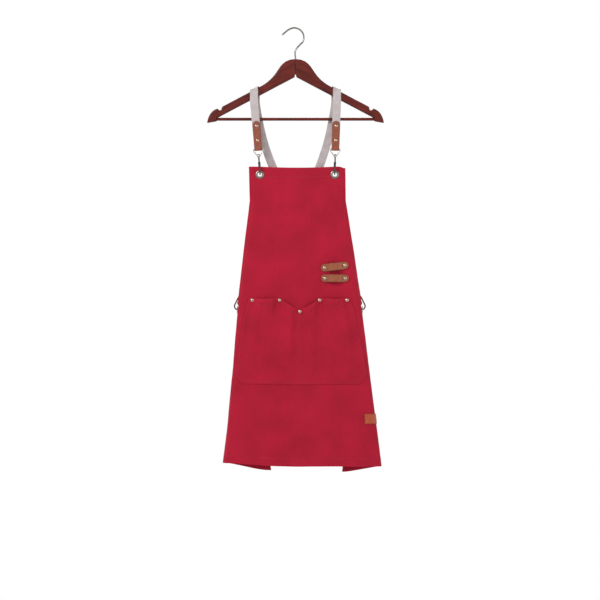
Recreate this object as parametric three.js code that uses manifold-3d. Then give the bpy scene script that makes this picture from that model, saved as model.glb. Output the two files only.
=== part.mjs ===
// A bib apron of heavy cotton canvas that hangs by its webbing straps on a wooden coat hanger.
// Millimetres, +Z up. The origin is the underside of the hanger hook's crown, where a rail carries it.
// The apron's front faces -Y, and +X is the viewer's right.

import * as THREE from 'three';
import { mergeVertices } from 'three/addons/utils/BufferGeometryUtils.js';
import Module from 'manifold-3d';

const wasm = await Module();
wasm.setup();

// ---------------------------------------------------------------- driving dimensions

const fitGap = 0.3;             // air between pieces that touch
const runningGap = 0.5;         // air round a pin or a shank that turns

// Hanger
const hookWire = 4.2;           // diameter of the hook's wire
const hookBend = 24;            // radius of the hook's crown, to the wire's centre
const crownShift = -3;          // the crown's centre, left of the stem
const hookStem = 76;            // crown's underside down to the top of the neck
const neckHeight = 44;          // top of the neck down to the point of the V underneath
const neckHalfWidth = 48;       // half width at the saddle, where the neck's side starts to hollow
const saddleDrop = 33.5;        // top of the neck down to the saddle
const saddleSlope = 1.5;        // fall of the neck's side at the saddle
const hangerWidth = 445;        // over both arm tips
const armSlope = 27.8;          // degrees below level
const armDepth = 14.6;          // front to back
const armHeight = 19;           // across the arm, square to its slope
const notchWidth = 11;          // strap notch in the top of each arm
const notchDepth = 7;
const notchInset = 39;          // arm tip in to the notch
const heelInset = 26.5;         // arm tip in to the heel, where the arm drops to hold the bar
const bladeDrop = 4.2;          // the tip hangs this far below the heel
const edgeRound = 2.4;          // chamfer round the wood's faces
const barDiameter = 7.5;         // trouser bar
const barSocket = 6;            // how far the bar enters each arm
const barWall = 1.2;            // wood under the bar
const barRise = 1;              // the bar's top stands this far above the heel's shoulder

// Straps
const webWidth = 20;
const webThick = 1.6;
const strapSpacing = 207;       // between the two straps, on the arms
const shoulderRoom = 1.7;       // flat arm between the neck's hollow and the strap
const strapDrift = 4;           // each strap leaves the arm's back this far nearer the middle
const tabLength = 74;           // leather tab on each front strap
const tabWidth = 19.5;
const leatherThick = 2.2;
const rearStraight = 105;       // doubled end of each rear strap
const tailBeyond = 14;          // free tail past the slider at the end of its travel
const sliderLevel = 52;         // eye's bar up to the slider's middle
const sliderTravel = 18;        // each way
const rearAngle = 26;           // degrees off plumb where a rear strap meets the waist

// Apron
const bibTop = 345;             // crown's underside down to the bib's top edge
const apronLength = 748;        // bib's top edge to the front hem
const bibHalfWidth = 113;
const waistDrop = 361;          // bib's top edge down to the waist corners
const waistHalfWidth = 155;
const skirtFlare = 0.1137;      // widening of each side per length below the waist
const wingLeft = 106;           // cloth that lies behind, at the hem
const wingRight = 86;
const foldRadius = 14;          // corner of the fold round to the back
const sideDepth = 27;           // flat side face at the waist
const canvasThick = 2.4;
const eyeletInset = 20;         // bib eyelets below the bib's top edge
const eyeletSpacing = 187;      // between the two bib eyelets
const eyeletHole = 11;
const eyeletOuter = 22;
const hangOffset = 4;           // the bib hangs this far right of the hook
const hemOffset = 18;           // and the hem this far

// Pocket, tool loops and label
const pocketDrop = 327;         // bib's top edge down to the pocket's mouth
const pocketHeight = 216.5;
const pocketHalfTop = 125;
const pocketHalfBottom = 168;
const pocketDip = 28.5;         // how far the mouth dips at the centre rivet
const pocketBulge = 8.5;
const pocketRivetInset = 7;     // end rivets in from the pocket's sides
const seatRoom = 1.6;           // flat cloth past a rivet's head
const pocketLift = 0.85;        // gap between the apron and the pocket at its seam
const pocketThick = 1.8;
const rivetHead = 9.5;
const rivetShank = 3;
const loopSpan = 70;            // leather tool loops
const loopBand = 19.5;
const loopBow = 8;
const loopDrop = 249.5;         // bib's top edge down to the upper loop's middle
const loopPitch = 29;
const loopCentre = 89;          // from the apron's centre line
const upperLoopTilt = 7;        // degrees, up to the right
const labelWidth = 38;
const labelHeight = 26;
const labelDrop = 629;

// Snap hooks, in their own frame: +Z up along the strap, bend centre at the origin
const snapThick = 3.4;
const snapBend = 9;             // radius of the hook's bend, to the middle of the metal
const rimSeat = 4.5;            // an eyelet's hole tops out this far below the bend's centre
const clothSide = 1;            // the bib lies this far forward of the strap's plane
const snapReach = 18;           // bend centre up to the gate's pin
const snapStem = 36;            // bend centre up to the middle of the eye's collar
const collarDiameter = 8.4;
const collarHeight = 4.6;
const eyeMetal = 2.6;
const eyeSideRoom = 0.4;        // beside the webbing, inside the eye
const eyeWidth = webWidth + 2 * (eyeMetal + eyeSideRoom);
const eyeHeight = 16.4;
const snapToBar = snapStem + collarHeight / 2 + eyeHeight - eyeMetal / 2;

const rad = Math.PI / 180;

// ---------------------------------------------------------------- materials

function finish(colour, roughness, metalness) {
  return () => new THREE.MeshStandardMaterial({ color: colour, roughness, metalness });
}

const chrome = finish(0xd2d3d4, 0.14, 1);
const steel = finish(0xb9bbbd, 0.3, 1);
const copper = finish(0xc98a6a, 0.32, 1);
const mahogany = finish(0x3a1512, 0.3, 0);
const canvas = finish(0xaf223c, 0.9, 0);
const leather = finish(0xaf6541, 0.6, 0);
const cotton = finish(0xb9b5ac, 0.95, 0);

const group = new THREE.Group();

function add(name, geometry, material, parent = group) {
  const mesh = new THREE.Mesh(geometry, material());
  mesh.name = name;
  parent.add(mesh);
  return mesh;
}

// ---------------------------------------------------------------- solids

function welded(geometry) {
  const plain = geometry.clone();
  plain.deleteAttribute('normal');
  plain.deleteAttribute('uv');
  return mergeVertices(plain, 1e-4);
}

function toSolid(geometry) {
  const g = welded(geometry);
  return new wasm.Manifold(new wasm.Mesh({
    numProp: 3,
    vertProperties: new Float32Array(g.attributes.position.array),
    triVerts: new Uint32Array(g.index.array),
  }));
}

function toGeometry(solid) {
  const mesh = solid.getMesh();
  const geometry = new THREE.BufferGeometry();
  geometry.setAttribute('position', new THREE.BufferAttribute(mesh.vertProperties, 3));
  geometry.setIndex(new THREE.BufferAttribute(mesh.triVerts, 1));
  return geometry;
}

function cut(geometry, ...tools) {
  return toGeometry(tools.reduce((body, tool) => body.subtract(toSolid(tool)), toSolid(geometry)));
}

function join(...geometries) {
  const [first, ...rest] = geometries.map(toSolid);
  return toGeometry(rest.reduce((body, piece) => body.add(piece), first));
}

// Keeps only what lies inside the mould.
function keep(geometry, mould) {
  return toGeometry(toSolid(geometry).intersect(toSolid(mould)));
}

// A closed sheet of cells: pointAt(i, j, side) gives its two faces, side being +1 or -1.
function sheet(columns, rows, pointAt) {
  const positions = [];
  const index = [];
  const at = (i, j, face) => (face * (rows + 1) + j) * (columns + 1) + i;
  for (const side of [1, -1]) {
    for (let j = 0; j <= rows; j++) {
      for (let i = 0; i <= columns; i++) positions.push(...pointAt(i, j, side).toArray());
    }
  }
  const quad = (a, b, c, d) => index.push(a, b, c, a, c, d);
  for (let j = 0; j < rows; j++) {
    for (let i = 0; i < columns; i++) {
      quad(at(i, j, 0), at(i + 1, j, 0), at(i + 1, j + 1, 0), at(i, j + 1, 0));
      quad(at(i, j, 1), at(i, j + 1, 1), at(i + 1, j + 1, 1), at(i + 1, j, 1));
    }
    quad(at(0, j, 0), at(0, j + 1, 0), at(0, j + 1, 1), at(0, j, 1));
    quad(at(columns, j, 0), at(columns, j, 1), at(columns, j + 1, 1), at(columns, j + 1, 0));
  }
  for (let i = 0; i < columns; i++) {
    quad(at(i, 0, 0), at(i, 0, 1), at(i + 1, 0, 1), at(i + 1, 0, 0));
    quad(at(i, rows, 0), at(i + 1, rows, 0), at(i + 1, rows, 1), at(i, rows, 1));
  }
  const geometry = new THREE.BufferGeometry();
  geometry.setAttribute('position', new THREE.Float32BufferAttribute(positions, 3));
  geometry.setIndex(index);
  return outward(geometry);
}

// Turns every triangle over if the faces point in.
function outward(geometry) {
  const p = geometry.attributes.position;
  const index = geometry.index.array;
  const [a, b, c] = [new THREE.Vector3(), new THREE.Vector3(), new THREE.Vector3()];
  let volume = 0;
  for (let k = 0; k < index.length; k += 3) {
    a.fromBufferAttribute(p, index[k]);
    b.fromBufferAttribute(p, index[k + 1]);
    c.fromBufferAttribute(p, index[k + 2]);
    volume += a.dot(b.cross(c));
  }
  if (volume < 0) {
    for (let k = 0; k < index.length; k += 3) [index[k + 1], index[k + 2]] = [index[k + 2], index[k + 1]];
  }
  return geometry;
}

// A flat outline given thickness: 'front' draws in X and Z, 'side' draws in Y and Z.
function plate(shape, thickness, { edge = 0, plane = 'front', curve = 8 } = {}) {
  const geometry = new THREE.ExtrudeGeometry(shape, {
    depth: thickness - 2 * edge,
    curveSegments: curve,
    bevelEnabled: edge > 0,
    bevelThickness: edge,
    bevelSize: edge,
    bevelOffset: -edge,
    bevelSegments: 1,
  });
  geometry.translate(0, 0, edge - thickness / 2);
  const [x, y, z] = [new THREE.Vector3(1, 0, 0), new THREE.Vector3(0, 1, 0), new THREE.Vector3(0, 0, 1)];
  const basis = new THREE.Matrix4();
  if (plane === 'front') basis.makeBasis(x, z, y.clone().negate());
  else basis.makeBasis(y, z, x);
  return geometry.applyMatrix4(basis);
}

// A turned piece. Each profile point is [radius, distance along the axis].
function turned(profile, { axis = 'y', segments = 12 } = {}) {
  const points = profile.map(([radius, along]) => new THREE.Vector2(radius, along));
  const geometry = new THREE.LatheGeometry(points, segments);
  if (axis === 'x') geometry.rotateZ(-90 * rad);
  if (axis === 'z') geometry.rotateX(90 * rad);
  return outward(welded(geometry));
}

function rod(radius, length, axis = 'y', segments = 12) {
  const half = length / 2;
  return turned([[0, -half], [radius, -half], [radius, half], [0, half]], { axis, segments });
}

function wire(curve, diameter, steps, sides = 10) {
  const section = new THREE.Shape().absarc(0, 0, diameter / 2, 0, 2 * Math.PI);
  const options = { steps, extrudePath: curve, curveSegments: sides, bevelEnabled: false };
  return new THREE.ExtrudeGeometry(section, options);
}

function moved(geometry, x, y, z) {
  return geometry.clone().translate(x, y, z);
}

const vec = (x, y, z) => new THREE.Vector3(x, y, z);
const clamp01 = (t) => Math.min(1, Math.max(0, t));
const ramp = (t, from, to) => clamp01((t - from) / (to - from));
const smooth = (t, from, to) => THREE.MathUtils.smoothstep(ramp(t, from, to), 0, 1);

// ---------------------------------------------------------------- hanger

const neckTop = -hookStem;
const neckPoint = neckTop - neckHeight;
const slope = Math.tan(armSlope * rad);
const armDrop = armHeight / Math.cos(armSlope * rad);
const undersideAt = (x) => neckPoint - slope * x;
const armTopAt = (x) => undersideAt(x) + armDrop;
const counterbore = 6;
const barLevel = undersideAt(hangerWidth / 2 - heelInset) + barRise - barDiameter / 2;
const barEnd = hangerWidth / 2 - heelInset + barSocket;

function hookPath() {
  const centre = -hookBend + hookWire / 2;
  const round = (angle) => vec(
    crownShift + hookBend * Math.sin(angle * rad), 0, centre + hookBend * Math.cos(angle * rad),
  );
  return new THREE.CatmullRomCurve3([
    vec(0, 0, neckPoint + counterbore - 2),
    vec(0, 0, neckTop),
    vec(0, 0, centre - hookBend - 8),
    vec(hookBend * 0.42, 0, centre - hookBend * 0.8),
    round(112),
    round(75),
    round(38),
    round(0),
    round(-34),
    vec(-hookBend * 1.38, 0, centre + hookBend * 0.28),
  ]);
}

function makeHook() {
  const shankRadius = hookWire / 2;
  const headTop = neckPoint + counterbore - 1.4 - fitGap;
  const head = turned([
    [0, -2.6], [shankRadius + 1.2, -2.2], [shankRadius + 2, -1.2], [shankRadius + 2, 0], [0, 0],
  ]);
  head.rotateX(90 * rad).translate(0, 0, headTop);
  add('hook_wire', join(wire(hookPath(), hookWire, 36, 4), head), chrome);

  const bore = shankRadius + runningGap;
  const washer = turned([[bore, -0.5], [5, -0.5], [5, 0.5], [bore, 0.5], [bore, -0.5]], { axis: 'z' });
  add('hook_washer', washer.translate(0, 0, neckPoint + counterbore - 0.5 - fitGap), steel);
}

// One half of the hanger in front view, for x >= 0.
function armShape() {
  const tip = hangerWidth / 2;
  const shoulder = strapSpacing / 2 - strapDrift - webWidth / 2 - shoulderRoom;
  const notch = tip - notchInset;
  const noseTop = armTopAt(notch + notchWidth) + 1.5;
  const heel = tip - heelInset;
  const heelBottom = barLevel - barDiameter / 2 - fitGap - barWall;
  const shape = new THREE.Shape();
  shape.moveTo(0, neckTop);
  const [saddleX, saddleZ] = [neckHalfWidth, neckTop - saddleDrop];
  const hollowX = (saddleZ + saddleSlope * saddleX - armTopAt(0)) / (saddleSlope - slope);
  shape.bezierCurveTo(
    saddleX * 0.625, neckTop, saddleX - 9, saddleZ + 9 * saddleSlope, saddleX, saddleZ,
  );
  shape.quadraticCurveTo(hollowX, armTopAt(hollowX), shoulder, armTopAt(shoulder));
  shape.lineTo(notch, armTopAt(notch));
  shape.lineTo(notch + 2, armTopAt(notch + 2) - notchDepth);
  const notchFloor = armTopAt(notch) - notchDepth - 4;
  shape.quadraticCurveTo(notch + notchWidth / 2, notchFloor, notch + notchWidth, noseTop);
  shape.quadraticCurveTo(tip - 6.5, noseTop - 5.7, tip - 1.5, heelBottom - bladeDrop);
  shape.lineTo(heel + 1, heelBottom);
  shape.lineTo(heel, undersideAt(heel));
  shape.lineTo(0, neckPoint);
  return shape;
}

// The halves meet in a glued lap that runs behind the hook's bore.
function makeHanger() {
  const lapReach = 10;
  const lapFront = hookWire / 2 + runningGap + 0.6;
  const lapBack = armDepth / 2 - 1.6;
  const lapTop = neckTop - 4;
  const lapHeight = neckHeight - 8;
  const lapMiddle = lapTop - lapHeight / 2;
  const lapWide = lapBack - lapFront;
  const bore = rod(hookWire / 2 + runningGap, neckHeight + 20, 'z');
  const shankBore = moved(bore, 0, 0, neckTop - neckHeight / 2);
  const sink = moved(rod(5 + runningGap, 2 * counterbore, 'z'), 0, 0, neckPoint);
  const solid = plate(armShape(), armDepth, { edge: edgeRound, curve: 6 });
  const halves = { left: outward(welded(solid.clone().scale(-1, 1, 1))), right: solid };
  for (const [name, side] of [['left', -1], ['right', 1]]) {
    const socketMiddle = side * (barEnd + fitGap - barSocket);
    const hole = rod(barDiameter / 2 + fitGap, 2 * barSocket, 'x');
    const socket = moved(hole, socketMiddle, 0, barLevel);
    const across = new THREE.BoxGeometry(2 * fitGap, armDepth * 2, neckHeight * 3);
    across.translate(0, 0, lapMiddle);
    let half = cut(halves[name], socket, across);
    const lap = new THREE.BoxGeometry(lapReach + 4, lapWide, lapHeight);
    if (side > 0) {
      half = join(half, lap.translate((4 - lapReach) / 2, (lapFront + lapBack) / 2, lapMiddle));
    } else {
      const room = 2 * fitGap;
      const groove = new THREE.BoxGeometry(lapReach * 2 + room, lapWide + room, lapHeight + room);
      half = cut(half, groove.translate(0, (lapFront + lapBack) / 2, lapMiddle));
    }
    add(`hanger_arm_${name}`, cut(half, shankBore, sink), mahogany);
  }
  add('trouser_bar', rod(barDiameter / 2, 2 * barEnd, 'x', 14).translate(0, 0, barLevel), mahogany);
}

// ---------------------------------------------------------------- the apron's surface

const waistZ = -bibTop - waistDrop;
const topZ = -bibTop;
const hemZ = topZ - apronLength;
const strapPlane = -(armDepth / 2 + webThick / 2 + fitGap * 2);
const bibPlane = strapPlane - clothSide;

const centreAt = (z) => hangOffset + (hemOffset - hangOffset) * ramp(z, topZ, hemZ);

// Half width of the outline as seen from the front.
function outlineAt(z) {
  const bib = bibHalfWidth + (waistHalfWidth - bibHalfWidth) * ramp(z, topZ - 85, waistZ);
  return bib + skirtFlare * Math.max(0, waistZ - z);
}

// The cross-section at a height: front run, fold, side face, fold, wing behind.
function sectionAt(z, side) {
  const corner = ramp(z, waistZ + 26, waistZ + 14);
  const first = 0.15 + 0.95 * ramp(z, topZ, waistZ + 26) + (Math.PI / 2 - 1.1) * corner;
  const second = 0.03 + (Math.PI / 2 - 0.03) * smooth(z, waistZ - 20, waistZ - 105);
  const face = 1 + (sideDepth - 1) * corner * (1 - 0.6 * smooth(z, waistZ - 40, hemZ));
  const wing = 6 + ((side < 0 ? wingLeft : wingRight) - 6) * ramp(z, waistZ - 20, hemZ);
  const front = outlineAt(z) - foldRadius * Math.sin(first);
  return { front, first, face, second, wing };
}

// The sheet's columns on one side, as distances from the centre line: each run has its own share.
function columnsAt(z, side) {
  const part = sectionAt(z, side);
  const runs = [
    [part.front, 4],
    [foldRadius * part.first, 3],
    [part.face, 1],
    [foldRadius * part.second, 3],
    [part.wing, 2],
  ];
  const distances = [0];
  for (const [length, count] of runs) {
    const from = distances.at(-1);
    for (let k = 1; k <= count; k++) distances.push(from + (length * k) / count);
  }
  return distances;
}

// Walks s millimetres from the centre line round the section; positive s goes right.
function onApron(s, z, offset = 0) {
  const side = s < 0 ? -1 : 1;
  const part = sectionAt(z, side);
  let left = Math.abs(s);
  let [x, y, heading] = [0, 0, 0];
  const straight = (length) => {
    const step = Math.min(left, length);
    x += step * Math.cos(heading);
    y += step * Math.sin(heading);
    left -= step;
  };
  const bend = (angle) => {
    const turn = Math.min(left / foldRadius, angle);
    x += foldRadius * (Math.sin(heading + turn) - Math.sin(heading));
    y += foldRadius * (Math.cos(heading) - Math.cos(heading + turn));
    heading += turn;
    left -= turn * foldRadius;
  };
  straight(part.front);
  bend(part.first);
  straight(part.face);
  bend(part.second);
  straight(part.wing + 1);
  x += offset * Math.sin(heading);
  y -= offset * Math.cos(heading);
  return vec(centreAt(z) + side * x, bibPlane + y, z);
}

// Heights of the sheet's rows, closer together round the waist corners.
function rowHeights() {
  const spread = (from, to, count) => Array.from(
    { length: count }, (_, k) => from + ((to - from) * k) / count,
  );
  return [
    ...spread(topZ, waistZ + 26, 6), ...spread(waistZ + 26, waistZ + 14, 3),
    ...spread(waistZ + 14, waistZ - 20, 2), ...spread(waistZ - 20, waistZ - 105, 4),
    ...spread(waistZ - 105, hemZ, 5), hemZ,
  ];
}

const waistEyeletZ = waistZ + 3;

function bibEyelet(side) {
  const z = topZ - eyeletInset;
  return vec(centreAt(z) + (side * eyeletSpacing) / 2, bibPlane, z);
}

// A waist eyelet sits square to the side face, on its middle.
function waistEyelet(side) {
  const onFace = (z) => {
    const part = sectionAt(z, side);
    return onApron(side * (part.front + foldRadius * part.first + part.face / 2), z);
  };
  const at = onFace(waistEyeletZ);
  const along = onFace(waistEyeletZ + 8).sub(onFace(waistEyeletZ - 8));
  const outwards = new THREE.Vector3().crossVectors(along, vec(0, -side, 0)).normalize();
  return { at, outwards };
}

const pocketTopZ = topZ - pocketDrop;
const pocketRivets = [-1, -0.4, 0, 0.4, 1].map((u) => {
  const inset = Math.abs(u) === 1 ? pocketRivetInset * u : 0;
  const z = pocketTopZ - 6 - pocketDip * (1 - ramp(Math.abs(u), 0, 0.4));
  return { u, x: centreAt(z) + u * pocketHalfTop - inset, z };
});

const loopRivetHalf = (loopSpan - loopBand) / 2;
const toolLoops = ['upper', 'lower'].map((name, k) => {
  const z = topZ - loopDrop - k * loopPitch;
  const at = vec(centreAt(z) + loopCentre, bibPlane, z);
  return { name, at, tilt: k === 0 ? upperLoopTilt * rad : 0 };
});

function loopRivetAt({ at, tilt }, side) {
  const reach = side * loopRivetHalf;
  return at.clone().add(vec(reach * Math.cos(tilt), 0, reach * Math.sin(tilt)));
}

function rivetHoles() {
  const hole = rod(rivetShank / 2 + fitGap, 60, 'y', 8);
  const pocket = pocketRivets.map(({ x, z }) => moved(hole, x, 0, z));
  const loops = toolLoops.flatMap((loop) => [-1, 1].map((side) => {
    const at = loopRivetAt(loop, side);
    return moved(hole, at.x, 0, at.z);
  }));
  return { pocket, loops };
}

function makeApron() {
  const rows = rowHeights();
  const perSide = columnsAt(topZ, 1).length - 1;
  const last = rows.length - 1;
  const panel = sheet(2 * perSide, last, (i, j, side) => {
    const column = Math.abs(i - perSide);
    const wingDrop = -12 * smooth(column, perSide - 6, perSide) * ramp(j, last - 5, last);
    const flip = i < perSide ? -1 : 1;
    const s = flip * columnsAt(rows[j], flip)[column];
    const point = onApron(s, rows[j], (side * canvasThick) / 2);
    return point.setZ(rows[j] + wingDrop);
  });
  const through = eyeletHole / 2 + 1.3;
  const bibHoles = [-1, 1].map((side) => {
    const at = bibEyelet(side);
    return moved(rod(through, 16, 'y', 12), at.x, at.y, at.z);
  });
  const waistHoles = [-1, 1].map((side) => facing(rod(through, 16, 'y', 12), waistEyelet(side)));
  const { pocket, loops } = rivetHoles();
  add('apron_panel', cut(panel, ...bibHoles, ...waistHoles, ...pocket, ...loops), canvas);
}

// Turns a piece made to face -Y toward 'outwards', and puts it in place.
function facing(geometry, { at, outwards }) {
  const turn = new THREE.Quaternion().setFromUnitVectors(vec(0, -1, 0), outwards);
  return geometry.clone().applyQuaternion(turn).translate(at.x, at.y, at.z);
}

// An eyelet is a flanged barrel in front and a washer behind, facing -Y.
function makeEyelets() {
  const inner = eyeletHole / 2;
  const outer = eyeletOuter / 2;
  const face = canvasThick / 2 + fitGap;
  const barrel = turned([
    [inner, -face - 0.9], [outer - 1, -face - 1.1], [outer, -face], [inner + 1, -face],
    [inner + 1, face + 1], [inner, face + 1], [inner, -face - 0.9],
  ], { segments: 14 });
  const washer = turned([
    [inner + 1 + fitGap, face], [outer - 1, face], [outer - 1, face + 0.8],
    [inner + 1 + fitGap, face + 0.8], [inner + 1 + fitGap, face],
  ], { segments: 14 });
  for (const [name, side] of [['left', -1], ['right', 1]]) {
    const bib = bibEyelet(side);
    add(`bib_eyelet_${name}`, moved(barrel, bib.x, bib.y, bib.z), copper);
    add(`bib_eyelet_washer_${name}`, moved(washer, bib.x, bib.y, bib.z), copper);
    add(`waist_eyelet_${name}`, facing(barrel, waistEyelet(side)), copper);
    add(`waist_eyelet_washer_${name}`, facing(washer, waistEyelet(side)), copper);
  }
}

// ---------------------------------------------------------------- pocket, loops, label

const pocketHalfAt = (v) => {
  const corner = 34;
  const run = pocketHalfTop + (pocketHalfBottom - pocketHalfTop) * Math.pow(v, 0.75);
  const near = Math.max(0, v * pocketHeight - (pocketHeight - corner)) / corner;
  return run - corner * (1 - Math.sqrt(Math.max(0, 1 - near * near * 0.96)));
};

// How far the pocket stands off the apron: two pouches, pinched at the rivets along the mouth.
function pocketStandoff(u, v) {
  const from = (rivetAt) => Math.abs(Math.abs(u) - rivetAt) * pocketHalfTop;
  const seatEnd = rivetHead / 2 + seatRoom;
  const across = smooth(from(0), seatEnd, 22) * smooth(from(1), pocketRivetInset + seatEnd, 28);
  const pinch = 1 - (1 - smooth(from(0.4), seatEnd, 19)) * (1 - smooth(v, 0.06, 0.3));
  const down = Math.cos((Math.PI / 2) * Math.pow(v, 1.4));
  return pocketBulge * across * pinch * down;
}

function makePocket() {
  const columns = 40;
  const rows = 7;
  const panel = sheet(columns, rows, (i, j, side) => {
    const u = (2 * i) / columns - 1;
    const v = j / rows;
    const mouth = pocketTopZ - pocketDip * (1 - ramp(Math.abs(u), 0.04, 0.4));
    const bottom = pocketTopZ - pocketHeight;
    const z = mouth + (bottom - mouth) * v;
    const drop = (pocketTopZ - z) / pocketHeight;
    const away = canvasThick / 2 + pocketLift + pocketStandoff(u, v) + pocketThick / 2;
    return onApron(u * pocketHalfAt(drop), z, away + (side * pocketThick) / 2);
  });
  add('pocket_panel', cut(panel, ...rivetHoles().pocket), canvas);
}

// A domed rivet, its head at the front face and its cap behind the apron, which lies on y = 0.
function rivet(front) {
  const shank = rivetShank / 2;
  const head = rivetHead / 2;
  const back = canvasThick / 2 + fitGap;
  return turned([
    [0, -front - 2.2], [head * 0.6, -front - 1.8], [head, -front - 0.5], [head, -front], [shank, -front],
    [shank, back], [head * 0.9, back], [head * 0.9, back + 0.8], [0, back + 1],
  ], { segments: 10 });
}

function makePocketRivets() {
  const names = ['far_left', 'left', 'centre', 'right', 'far_right'];
  const front = canvasThick / 2 + pocketLift + pocketThick + 0.85;
  pocketRivets.forEach(({ x, z }, k) => {
    add(`pocket_rivet_${names[k]}`, moved(rivet(front), x, bibPlane, z), copper);
  });
}

// A leather band with round ends, riveted at both ends and bowed away between them.
function toolLoop() {
  const half = loopSpan / 2;
  const round = loopBand / 2;
  const flat = canvasThick / 2 + fitGap;
  const columns = 18;
  const bowed = sheet(columns, 1, (i, j, side) => {
    const x = -half + (loopSpan * i) / columns;
    const alongBow = Math.min(1, Math.abs(x) / (loopRivetHalf - 6));
    const rise = loopBow * Math.pow(Math.cos((Math.PI / 2) * alongBow), 0.8);
    const y = -(flat + rise + leatherThick / 2) - (side * leatherThick) / 2;
    return vec(x, y, (j - 0.5) * 2 * loopBand);
  });
  const outline = new THREE.Shape();
  outline.moveTo(-half + round, -round);
  outline.lineTo(half - round, -round);
  outline.absarc(half - round, 0, round, -Math.PI / 2, Math.PI / 2);
  outline.lineTo(-half + round, round);
  outline.absarc(-half + round, 0, round, Math.PI / 2, 1.5 * Math.PI);
  return keep(bowed, plate(outline, 60));
}

function makeToolLoops() {
  const front = canvasThick / 2 + fitGap + leatherThick + 0.5;
  const hole = rod(rivetShank / 2 + fitGap, 30, 'y', 8);
  for (const loop of toolLoops) {
    const holes = [-1, 1].map((side) => moved(hole, side * loopRivetHalf, 0, 0));
    const strip = cut(toolLoop(), ...holes).rotateY(-loop.tilt);
    add(`tool_loop_${loop.name}`, moved(strip, ...loop.at.toArray()), leather);
    for (const [end, side] of [['left', -1], ['right', 1]]) {
      const place = loopRivetAt(loop, side).toArray();
      add(`tool_loop_rivet_${loop.name}_${end}`, moved(rivet(front), ...place), copper);
    }
  }
}

function makeLabel() {
  const thick = 1.6;
  const top = topZ - labelDrop + labelHeight / 2;
  const start = sectionAt(top, 1).front - 14;
  add('side_label', sheet(10, 1, (i, j, side) => {
    const away = canvasThick / 2 + fitGap * 2 + thick / 2 + (side * thick) / 2;
    return onApron(start + (labelWidth * i) / 10, top - labelHeight * j, away);
  }), leather);
}

// ---------------------------------------------------------------- snap hooks

const snapTop = snapStem - collarHeight / 2 - fitGap;

// The cast hook, drawn in its own plane: down the front leg, round the bend and up to the tip.
function snapHookShape() {
  const [outer, inner] = [snapBend + snapThick / 2, snapBend - snapThick / 2];
  const shape = new THREE.Shape();
  shape.moveTo(3.6, snapTop);
  shape.lineTo(-3.6, snapTop);
  shape.quadraticCurveTo(-outer, snapTop - 3, -outer, snapReach - 1);
  shape.lineTo(-outer, 0);
  shape.absarc(0, 0, outer, Math.PI, 2 * Math.PI);
  shape.lineTo(outer, 2);
  shape.lineTo(inner, 1.2);
  shape.lineTo(inner, 0);
  shape.absarc(0, 0, inner, 2 * Math.PI, Math.PI, true);
  shape.lineTo(-inner, snapReach - 3);
  shape.quadraticCurveTo(-inner, snapReach + 3, 0, snapReach + 4);
  shape.lineTo(3, snapReach - 2.4);
  shape.lineTo(snapBend - 0.5, snapReach - 1);
  shape.lineTo(snapBend - 0.5, snapReach + 4);
  return shape;
}

const gatePivot = { y: snapBend - 3.2, z: snapReach + 1.2 };
const gatePin = 1.7;            // diameter

function snapHookBody() {
  const body = plate(snapHookShape(), snapThick, { edge: 0.5, plane: 'side', curve: 5 });
  const hole = moved(rod(gatePin / 2 + runningGap / 2, 12, 'x', 10), 0, gatePivot.y, gatePivot.z);
  const neck = collarDiameter / 2 - 2.3;
  const top = snapStem + collarHeight / 2 + fitGap;
  const stem = turned([[0, -2], [neck, -2], [neck, top - snapTop], [neck + 1.3, top - snapTop],
    [neck + 1.3, top - snapTop + 2], [0, top - snapTop + 2.4]]);
  stem.rotateX(90 * rad).translate(0, 0, snapTop);
  return join(cut(body, hole), stem);
}

// The gate is a folded channel: two cheeks on the pin and a web that shuts onto the tip.
function snapGate() {
  const cheek = snapThick / 2 + fitGap;
  const wall = 0.9;
  const web = snapBend + snapThick / 2;
  const foot = 2.9;
  const top = gatePivot.z + 3.2;
  const profile = new THREE.Shape();
  profile.moveTo(gatePivot.y - 2.4, gatePivot.z + 0.6);
  profile.lineTo(gatePivot.y - 0.6, top);
  profile.lineTo(web, top - 0.6);
  profile.lineTo(web + 0.4, foot);
  profile.lineTo(web - 3, foot);
  profile.lineTo(web - 3, gatePivot.z - 6);
  const block = plate(profile, 2 * (cheek + wall), { plane: 'side' });
  const channel = new THREE.BoxGeometry(2 * cheek, web + 3, 13);
  channel.translate(0, web - 0.8 - (web + 3) / 2, gatePivot.z - 0.1);
  const hole = moved(rod(gatePin / 2 + runningGap / 2, 12, 'x', 10), 0, gatePivot.y, gatePivot.z);
  return cut(block, channel, hole);
}

// The eye: a D of cast metal with a collar that the hook's stem turns in.
function snapEye() {
  const half = eyeWidth / 2;
  const base = snapStem + collarHeight / 2;
  const shape = new THREE.Shape();
  const outline = (path, inset) => {
    const low = base - 1 + inset;
    path.moveTo(-half + inset, base + eyeHeight - inset);
    path.lineTo(-half + inset, base + eyeHeight - 6);
    path.lineTo(-5 + inset * 0.5, low);
    path.lineTo(5 - inset * 0.5, low);
    path.lineTo(half - inset, base + eyeHeight - 6);
    path.lineTo(half - inset, base + eyeHeight - inset);
  };
  outline(shape, 0);
  const opening = new THREE.Path();
  outline(opening, eyeMetal);
  shape.holes.push(opening);
  const ring = plate(shape, eyeMetal, { edge: 0.6, curve: 5 });
  const collar = rod(collarDiameter / 2, collarHeight, 'z').translate(0, 0, snapStem);
  const bore = rod(collarDiameter / 2 - 2.3 + runningGap, collarHeight * 2, 'z').translate(0, 0, snapStem);
  const headRoom = rod(collarDiameter / 2 - 1 + runningGap, 5, 'z').translate(0, 0, base + 2.5);
  return cut(join(ring, collar), bore, headRoom);
}

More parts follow.
